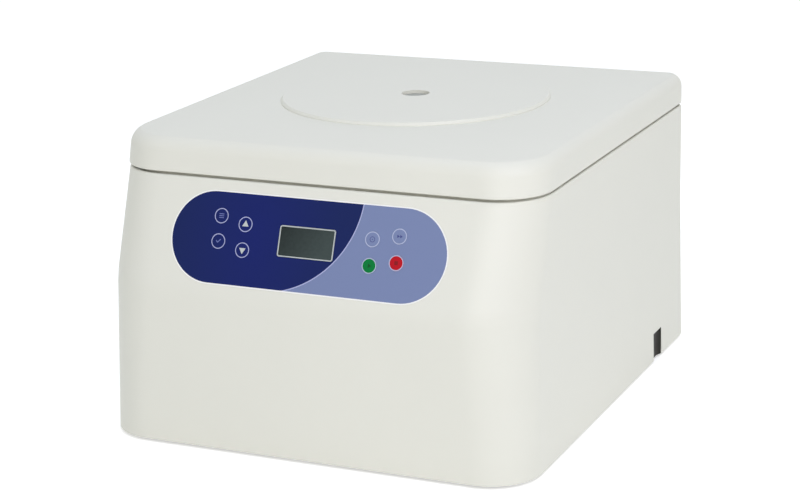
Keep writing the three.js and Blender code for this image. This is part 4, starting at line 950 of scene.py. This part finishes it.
def chamber_gasket():
    low, high = node_box("chamber_gasket")
    margin, width, lip = 2.0, 10.0, 3.0
    outer = CHAMBER_RADIUS + FLANGE_WIDTH - margin
    inner = outer - width
    profile = [(inner, low.z), (outer, low.z), (outer, high.z - lip)]
    profile += arc(outer - lip, high.z - lip, lip, 0, QUARTER)
    profile += arc(inner + lip, high.z - lip, lip, QUARTER, 2 * QUARTER)
    return turned(profile, SPINDLE, FINE_STEPS, closed=True)


def shaft_seal():
    low, high = node_box("shaft_seal")
    inner, lap, thickness, edge = 8.9, 5.0, 2.6, 1.2
    outer = HUB_HOLE - SEAT
    lip = outer + lap
    lip_low = high.z - thickness
    profile = [(inner, low.z), (outer, low.z), (outer, lip_low), (lip, lip_low)]
    profile += arc(lip - edge, high.z - edge, edge, 0, QUARTER, SMALL_STEPS)
    # A shallow groove on top leaves a thin lip that wipes the spindle
    profile += [(inner + 2.4, high.z), (inner + 1.4, high.z - 0.8), (inner, high.z)]
    return turned(profile, SPINDLE, closed=True)


# Rotor, drawn about the spindle with the trunnions at height zero
ROTOR_PLACE = Matrix.Translation(AXIS)
TRUNNION_RADIUS = 52.0
ARM_RADIUS = 66.0
ARM_THICKNESS = 18.0
SLOT_HALF_WIDTH = 21.0
SLOT_INNER = 27.5
HUB_OUTER = 20.0
HUB_DROP = 14.0
HUB_TOP = 16.0
HUB_CHAMFER = 2.0
TRUNNION_PIN = 3.0
PIN_REACH = 3.2
RELIEF_RADIUS = 19.0
RELIEF_DISTANCE = 68.0
SPINDLE_RADIUS = 7.7
BUCKETS = 4


def bucket_turn(step):
    return Matrix.Rotation(step * 4 * QUARTER / BUCKETS, 4, "Z")


def around(maker, *values):
    return [moved(maker(*values), bucket_turn(step)) for step in range(BUCKETS)]


def pin_rod(radius, low, high, x=0.0):
    """A rod along the line of a bucket's trunnion pins"""
    turn = Matrix.Translation((x, 0, 0)) @ Matrix.Rotation(-QUARTER, 4, "X")
    return moved(rod(radius, low, high), turn)


def rotor_slot():
    return block((SLOT_INNER, -SLOT_HALF_WIDTH, -OVERRUN), (ARM_RADIUS + OVERRUN, SLOT_HALF_WIDTH, OVERRUN))


def rotor_relief():
    diagonal = RELIEF_DISTANCE * math.sqrt(0.5)
    return rod(RELIEF_RADIUS, -OVERRUN, OVERRUN, diagonal, diagonal, TURN_STEPS)


def rotor_pin(side):
    ends = span(side, SLOT_HALF_WIDTH - PIN_REACH, SLOT_HALF_WIDTH + TRUNNION_PIN)
    return pin_rod(TRUNNION_PIN, *ends, TRUNNION_RADIUS)


def rotor_head():
    half = ARM_THICKNESS / 2
    disc = rod(ARM_RADIUS, -half, half, steps=FINE_STEPS)
    cross = cut(disc, *around(rotor_slot), *around(rotor_relief))
    hub = turned([(0, -HUB_DROP), (HUB_OUTER, -HUB_DROP), (HUB_OUTER, HUB_TOP - HUB_CHAMFER),
                  (HUB_OUTER - HUB_CHAMFER, HUB_TOP), (0, HUB_TOP)])
    whole = joined(cross, hub, *around(rotor_pin, 1), *around(rotor_pin, -1))
    return moved(cut(whole, rod(SPINDLE_RADIUS + SEAT, -OVERRUN, OVERRUN)), ROTOR_PLACE)


def rotor_nut():
    low, high = node_box("rotor_nut")
    base = low.z - AXIS.z
    top = high.z - AXIS.z
    skirt, barrel, dome = 16.0, 13.0, 5.0
    skirt_height, shoulder, flute_low, socket = 2.0, 4.0, 4.6, 9.0
    flute, flute_distance, flutes = 3.0, 15.0, 8
    profile = [(0, base), (skirt, base), (skirt, base + skirt_height), (barrel, base + shoulder),
               (barrel, top - dome)]
    profile += arc(barrel - dome, top - dome, dome, 0, QUARTER)
    profile += [(0, top)]
    spots = arc(0, 0, flute_distance, 0, 4 * QUARTER, flutes)[:flutes]
    cuts = [rod(flute, base + flute_low, top + OVERRUN, *spot) for spot in spots]
    cuts.append(rod(SPINDLE_RADIUS + SEAT, -OVERRUN, HUB_TOP + socket + SEAT))
    return moved(cut(turned(profile), *cuts), ROTOR_PLACE)


# Buckets, drawn about their own axis
BUCKET_RADIUS = 17.4
BUCKET_FOOT = 15.6
BUCKET_WALL = 1.8
BUCKET_RISE = 12.0
BUCKET_HANG = 74.0
BUCKET_FILLET = 6.0
BUCKET_RIM = 18.8
COLLAR = 20.4
COLLAR_HALF = 7.0
SLEEVE = 1.6
SLEEVE_FLOOR = 2.0


def bucket_shell():
    fillet = BUCKET_FILLET
    inner_foot = BUCKET_FOOT - BUCKET_WALL
    inner_low = BUCKET_WALL - BUCKET_HANG
    profile = [(0, -BUCKET_HANG)] + arc(BUCKET_FOOT - fillet, fillet - BUCKET_HANG, fillet, -QUARTER, 0)
    profile += [(BUCKET_RADIUS, -COLLAR_HALF - (COLLAR - BUCKET_RADIUS)), (COLLAR, -COLLAR_HALF),
                (COLLAR, COLLAR_HALF), (BUCKET_RIM, COLLAR_HALF), (BUCKET_RIM, BUCKET_RISE),
                (BUCKET_RADIUS - BUCKET_WALL, BUCKET_RISE)]
    profile += arc(inner_foot - fillet, inner_low + fillet, fillet, 0, -QUARTER) + [(0, inner_low)]
    seat = TRUNNION_PIN + SEAT
    reach = SLOT_HALF_WIDTH - PIN_REACH - SEAT
    ends = [span(side, reach, reach + OVERRUN) for side in (1, -1)]
    hooks = [pin_rod(seat, low, high) for low, high in ends]
    hooks += [block((-seat, low, -OVERRUN), (seat, high, 0)) for low, high in ends]
    return cut(turned(profile), *hooks)


def bucket_sleeve():
    top = BUCKET_RISE + SEAT
    low = BUCKET_FILLET - BUCKET_HANG
    outer_top = BUCKET_RADIUS - BUCKET_WALL - SEAT
    outer_low = BUCKET_FOOT - BUCKET_WALL - SEAT
    roll = SLEEVE / 2
    profile = [(0, low), (outer_low, low), (outer_top, top), (BUCKET_RIM, top)]
    profile += arc(BUCKET_RIM - roll, top + roll, roll, -QUARTER, QUARTER, SMALL_STEPS)[1:]
    profile += arc(outer_top - SLEEVE + roll, top + roll, roll, QUARTER, 2 * QUARTER, SMALL_STEPS)
    profile += [(outer_low - SLEEVE, low + SLEEVE_FLOOR), (0, low + SLEEVE_FLOOR)]
    return turned(profile)


# Hinges
def hinge_bore(x):
    return hinge_rod(PIN_RADIUS + SEAT, x - OVERRUN, x + OVERRUN)


def hinge_bracket(side):
    half = KNUCKLE_WIDTH / 2
    x = SIDES[side] * HINGE_X
    low, high = node_box(f"hinge_bracket_{side}")
    knuckle = hinge_rod(KNUCKLE_RADIUS, x - half, x + half)
    stem = block((x - half, STEM_FRONT, low.z), (x + half, STEM_REAR, HINGE.z))
    plate = block((low.x, STEM_FRONT, low.z), (high.x, STEM_REAR, low.z + BRACKET_PLATE))
    return cut(joined(knuckle, stem, plate), hinge_bore(x))


def hinge_leaf(side):
    x = SIDES[side] * HINGE_X
    inner = KNUCKLE_WIDTH / 2 + SEAT
    outer = inner + EAR_WIDTH
    front = node_box(f"hinge_leaf_{side}")[0].y
    low = LINER_HIGH.z + SEAT
    high = low + LEAF
    web = HINGE.y - KNUCKLE_RADIUS - HINGE_GAP
    parts = []
    for ear in (-1, 1):
        ends = span(ear, inner, outer, x)
        parts.append(hinge_rod(KNUCKLE_RADIUS, *ends))
        parts.append(block((ends[0], web - LEAF, low), (ends[1], HINGE.y, high)))
    plate = block((x - outer, front, low), (x + outer, web, high))
    return cut(joined(plate, *parts), hinge_bore(x))


def hinge_pin(side):
    x = SIDES[side] * HINGE_X
    return hinge_rod(PIN_RADIUS, x - PIN_HALF, x + PIN_HALF)


# Small parts
HEAD_RADIUS = 2.8
HEAD_HEIGHT = 1.8
LOW_HEAD_HEIGHT = 1.0
HEAD_STEPS = 24
ROCKER_RADIUS = 12.4
ROCKER_VALLEY = 2.0
ROCKER_TILT = math.radians(9)
ROCKER_UPPER = math.radians(28)
ROCKER_LOWER = math.radians(15)
ROCKER_PIVOT = joint_point("power_rocker_tilt")
MARK_LOW = -0.1


def rubber_foot(node):
    low, high = node_box(node)
    top_radius, sole_radius, edge = 15.0, 13.0, 2.0
    profile = [(0, low.z), (sole_radius - edge, low.z)]
    profile += arc(sole_radius - edge, low.z + edge, edge, -QUARTER, 0)
    profile += [(top_radius, high.z), (0, high.z)]
    centre = (low + high) / 2
    return turned(profile, (centre.x, centre.y, 0))


def pan_head(height):
    """A cross-recessed screw head that stands on the XY plane"""
    sunk = -0.5
    edge, side, floor = height * 0.6, height * 0.4, height * 0.3
    arm, slot = HEAD_RADIUS * 0.6, HEAD_RADIUS * 0.14
    profile = [(0, sunk), (HEAD_RADIUS, sunk), (HEAD_RADIUS, side)]
    profile += arc(HEAD_RADIUS - edge, side, edge, 0, QUARTER, SMALL_STEPS) + [(0, height)]
    recess = [block((-x, -y, floor), (x, y, height * 2)) for x, y in ((arm, slot), (slot, arm))]
    return cut(turned(profile, steps=HEAD_STEPS), *recess)


def screws(places, aim, height=HEAD_HEIGHT):
    turn = Vector((0, 0, 1)).rotation_difference(Vector(aim)).to_matrix().to_4x4()
    return gathered([moved(pan_head(height), Matrix.Translation(place) @ turn) for place in places])


def inlet_pins():
    low, high = node_box("power_inlet")
    centre = (low + high) / 2
    thick, tall, length, sunk = 1.0, 2.0, 13.0, 0.5
    bottom = high.y - 17.0
    pins = []
    for x, z in ((-7.0, -2.0), (7.0, -2.0), (0.0, 2.0)):
        pins.append(block((centre.x + x - thick, bottom - sunk, centre.z + z - tall),
                          (centre.x + x + thick, bottom + length, centre.z + z + tall)))
    return gathered(pins)


def power_rocker():
    low, high = node_box("power_rocker")
    points = arc(0, 0, ROCKER_RADIUS, QUARTER + ROCKER_LOWER, QUARTER - ROCKER_UPPER)
    points.append((ROCKER_RADIUS * math.sin(ROCKER_UPPER) - ROCKER_VALLEY, 0))
    points += arc(0, 0, ROCKER_RADIUS, ROCKER_UPPER - QUARTER, -ROCKER_LOWER - QUARTER)
    stand = Matrix(((0, 0, 1, 0), (1, 0, 0, 0), (0, 1, 0, 0), (0, 0, 0, 1)))
    place = Matrix.Translation((0, ROCKER_PIVOT.y, ROCKER_PIVOT.z)) @ Matrix.Rotation(-ROCKER_TILT, 4, "X")
    return moved(slab(points, low.x, high.x), place @ stand)


def rocker_marks():
    """A plain bar and ring on the rocker's two halves"""
    rise = ROCKER_RADIUS * math.cos(ROCKER_UPPER)
    crest = ROCKER_RADIUS * math.sin(ROCKER_UPPER)
    lean = math.atan2(ROCKER_VALLEY, rise)
    bar = block((-0.4, -2.2, MARK_LOW), (0.4, 2.2, PRINT))
    marks = []
    for side, mark in ((1, bar), (-1, ring(1.7, 2.4, MARK_LOW, PRINT))):
        middle = Vector((0, crest - ROCKER_VALLEY / 2, side * rise / 2))
        face = Matrix.Translation(middle) @ Matrix.Rotation(side * -lean - QUARTER, 4, "X")
        marks.append(moved(mark, face))
    return moved(gathered(marks), Matrix.Translation(ROCKER_PIVOT) @ Matrix.Rotation(-ROCKER_TILT, 4, "X"))


# Assembly
def add_on_panel(name, bm, body, looks, stands_for=None, edge=0):
    add_piece(name, moved(bm, PANEL_PLACE), body, looks, stands_for, edge)


def grid(across, along, height):
    return [(x, y, height) for x in across for y in along]


add_piece("body_moulding", body_moulding(), "body", ["shell"], "main_housing")
for side, sign in SIDES.items():
    add_piece(f"grip_pocket_{side}", grip_pocket(sign), "body", ["pocket"], edge=0.3)
add_piece("lid_moulding", lid_moulding(), "lid", ["shell"], "lid_cover")
add_piece("lid_inner_panel", lid_inner_panel(), "lid", ["liner"], "lid_liner")
add_piece("sight_plug", sight_plug(), "lid", ["window"], "sight_window", 0.5)
film_looks = ["film", "film_pale", "ink_lilac", "ink_white"]
add_on_panel("control_film", control_film(), "body", film_looks, "control_overlay")
for key, (across, up, cap, line, mark, slot) in KEYS.items():
    body = f"{key}_body"
    add_on_panel(f"{key}_cap", key_cap(across, up), body, [cap], key)
    add_on_panel(f"{key}_ring", key_ring(across, up), body, [line])
    add_on_panel(f"{key}_mark", gathered(key_marks(key, across, up)), body, [mark])
add_on_panel("display_rim_ring", display_rim(), "body", ["rim"], "display_frame", 0.15)
add_on_panel("display_pane_sheet", display_pane(), "body", ["pane"], "display_glass", 0.1)
add_piece("spun_bowl", chamber_bowl(), "body", ["bowl"], "chamber_bowl", 0.3)
add_piece("lip_gasket", chamber_gasket(), "body", ["rubber"], "chamber_gasket", 0.3)
add_piece("spindle_seal", shaft_seal(), "body", ["rubber"], "shaft_seal", 0.2)
add_piece("rotor_cross", rotor_head(), "rotor", ["rotor"], "rotor_head", 0.6)
add_piece("rotor_knob", rotor_nut(), "rotor", ["stainless"], "rotor_nut")
for step in range(BUCKETS):
    body = f"bucket_{step + 1}_body"
    place = ROTOR_PLACE @ bucket_turn(step) @ Matrix.Translation((TRUNNION_RADIUS, 0, 0))
    add_piece(f"bucket_shell_{step + 1}", moved(bucket_shell(), place), body, ["bucket"],
              f"bucket_{step + 1}")
    add_piece(f"bucket_insert_{step + 1}", moved(bucket_sleeve(), place), body, ["sleeve"],
              f"bucket_sleeve_{step + 1}", 0)
for foot in [f"foot_{end}_{side}" for end in ("front", "rear") for side in SIDES]:
    add_piece(f"{foot}_pad", rubber_foot(foot), "body", ["rubber"], foot, 0.3)
for side in SIDES:
    add_piece(f"hinge_stand_{side}", hinge_bracket(side), "body", ["zinc"],
              f"hinge_bracket_{side}")
    add_piece(f"hinge_strap_{side}", hinge_leaf(side), "lid", ["zinc"], f"hinge_leaf_{side}")
    add_piece(f"hinge_rod_{side}", hinge_pin(side), "lid", ["stainless"], f"hinge_pin_{side}")
add_piece("switch_rocker", power_rocker(), "rocker", ["nylon"], "power_rocker", 0.5)
add_piece("switch_marks", rocker_marks(), "rocker", ["ink_white"], edge=0)
add_piece("socket_pins", inlet_pins(), "body", ["nickel"], edge=0.5)

deck_spots = grid((-165.0, 165.0), (-120.0, 40.0, 195.0), DECK_HIGH.z)
hinge_spots = grid([side * HINGE_X + shift for side in (-1, 1) for shift in (-10.0, 10.0)], [REAR], 196.0)
pan_low = node_box("base_pan")[0].z
pan_spots = grid((-180.0, 180.0), (-120.0, 0.0, 115.0), pan_low)
pan_spots += grid((-80.0, 80.0), (-205.0, 205.0), pan_low)
liner_spots = grid((-180.0, 180.0), (-120.0, 30.0, 180.0), LINER_LOW.z)
for name, body, heads in (("deck_screws", "body", screws(deck_spots, (0, 0, 1))),
                          ("hinge_screws", "body", screws(hinge_spots, (0, 1, 0))),
                          ("pan_screws", "body", screws(pan_spots, (0, 0, -1))),
                          ("liner_screws", "lid", screws(liner_spots, (0, 0, -1), LOW_HEAD_HEIGHT))):
    add_piece(name, heads, body, ["nickel"], edge=0)

for node, look in {
    "deck_plate": "shell", "base_pan": "coated", "motor_plate": "zinc", "motor_damper_1": "rubber",
    "motor_damper_2": "rubber", "motor_damper_3": "rubber", "motor_body": "enamel", "drive_board": "board",
    "control_board": "board", "lock_bracket": "zinc", "lock_solenoid": "coil", "lock_hook": "zinc",
    "lock_plunger": "stainless", "lid_striker": "zinc", "power_sheet": "zinc", "power_inlet": "nylon",
    "switch_frame": "nylon", "spindle": "stainless",
}.items():
    dress(node, look)


# Studio
WHITE = (1, 1, 1, 1)
WORLD_STRENGTH = 0.58
FLOOR_SIZE = 6.0
FLOOR_LIFT = 0.5
LAMP_AIM = Vector((0, 0, 0.13))
CAMERA_PLACE = Vector((780.8, -1733.6, 674.2)) * MM
CAMERA_YAW = math.radians(24.45)
CAMERA_PITCH = math.radians(16.02)
CAMERA_ROLL = math.radians(-1.42)
FOCAL_PIXELS = 2135.0
FRAME_PIXELS = 800.0


def seen_directly(tree):
    """1 for what the camera sees, in mirrors and through glass too, and 0 for the light on the object"""
    path = add_node(tree, "LightPath")
    seen = add_node(tree, "Math", {"operation": "ADD"},
                    {0: path.outputs["Is Camera Ray"], 1: path.outputs["Is Glossy Ray"]})
    through = add_node(tree, "Math", {"operation": "ADD", "use_clamp": True},
                       {0: seen, 1: path.outputs["Is Transmission Ray"]})
    return through


def build_world():
    world = bpy.data.worlds.new("studio")
    world.use_nodes = True
    bpy.context.scene.world = world
    tree = world.node_tree
    tree.nodes.clear()
    # The ceiling is a little cooler than the walls
    place = add_node(tree, "TexCoord").outputs["Generated"]
    rise = add_node(tree, "SeparateXYZ", links={"Vector": place})
    tint = add_node(tree, "Mix", {"data_type": "RGBA", 6: colour("#FFF7E6"), 7: colour("#EAF6FF")},
                    {0: rise.outputs["Z"]})
    light = add_node(tree, "Background", {"Strength": WORLD_STRENGTH}, {"Color": tint.outputs[2]})
    shown = add_node(tree, "Background", {"Color": WHITE, "Strength": 1.0})
    mix = add_node(tree, "MixShader", links={0: seen_directly(tree), 1: light, 2: shown})
    add_node(tree, "OutputWorld", links={"Surface": mix})


def build_floor():
    bm = bmesh.new()
    bmesh.ops.create_grid(bm, x_segments=1, y_segments=1, size=FLOOR_SIZE)
    floor = solid_object(bm, "floor")
    look = bpy.data.materials.new("studio_paper")
    look.use_nodes = True
    tree = look.node_tree
    tree.nodes.clear()
    paper = add_node(tree, "BsdfDiffuse", {"Color": colour("#FAFAF8")})
    # The lift makes the paper white where it is seen, and leaves the shadow on it
    share = add_node(tree, "Math", {"operation": "MULTIPLY", 1: FLOOR_LIFT}, {0: seen_directly(tree)})
    lift = add_node(tree, "Emission", {"Color": WHITE}, {"Strength": share})
    both = add_node(tree, "AddShader", links={0: paper, 1: lift})
    add_node(tree, "OutputMaterial", links={"Surface": both})
    floor.data.materials.append(look)


def add_softbox(name, place, size, power, tint):
    """A square lamp that faces the middle of the body"""
    lamp = bpy.data.lights.new(name, "AREA")
    lamp.shape = "RECTANGLE"
    lamp.size = size
    lamp.size_y = size
    lamp.energy = power
    lamp.color = colour(tint)[:3]
    holder = bpy.data.objects.new(name, lamp)
    holder.location = place
    holder.rotation_euler = (LAMP_AIM - Vector(place)).to_track_quat("-Z", "Y").to_euler()
    bpy.context.scene.collection.objects.link(holder)


def build_camera():
    away = math.cos(CAMERA_PITCH)
    back = Vector((math.sin(CAMERA_YAW) * away, -math.cos(CAMERA_YAW) * away, math.sin(CAMERA_PITCH)))
    level = Vector((math.cos(CAMERA_YAW), math.sin(CAMERA_YAW), 0))
    upright = back.cross(level)
    right = level * math.cos(CAMERA_ROLL) + upright * math.sin(CAMERA_ROLL)
    up = back.cross(right)
    camera = bpy.data.cameras.new("camera")
    camera.sensor_fit = "HORIZONTAL"
    camera.sensor_width = 36.0
    camera.lens = FOCAL_PIXELS / FRAME_PIXELS * camera.sensor_width
    camera.clip_end = 50.0
    holder = bpy.data.objects.new("camera", camera)
    holder.matrix_world = Matrix.Translation(CAMERA_PLACE) @ Matrix((right, up, back)).transposed().to_4x4()
    bpy.context.scene.collection.objects.link(holder)
    bpy.context.scene.camera = holder


build_world()
build_floor()
add_softbox("key_softbox", (1.35, -1.15, 1.65), 1.5, 15.5, "#F5F2FF")
add_softbox("front_softbox", (0.75, -2.15, 0.8), 0.9, 6.9, "#FFFBF5")
add_softbox("top_softbox", (0.0, 0.1, 2.4), 2.0, 8.8, "#DEE6FF")
build_camera()
bpy.context.scene.view_settings.view_transform = "Standard"
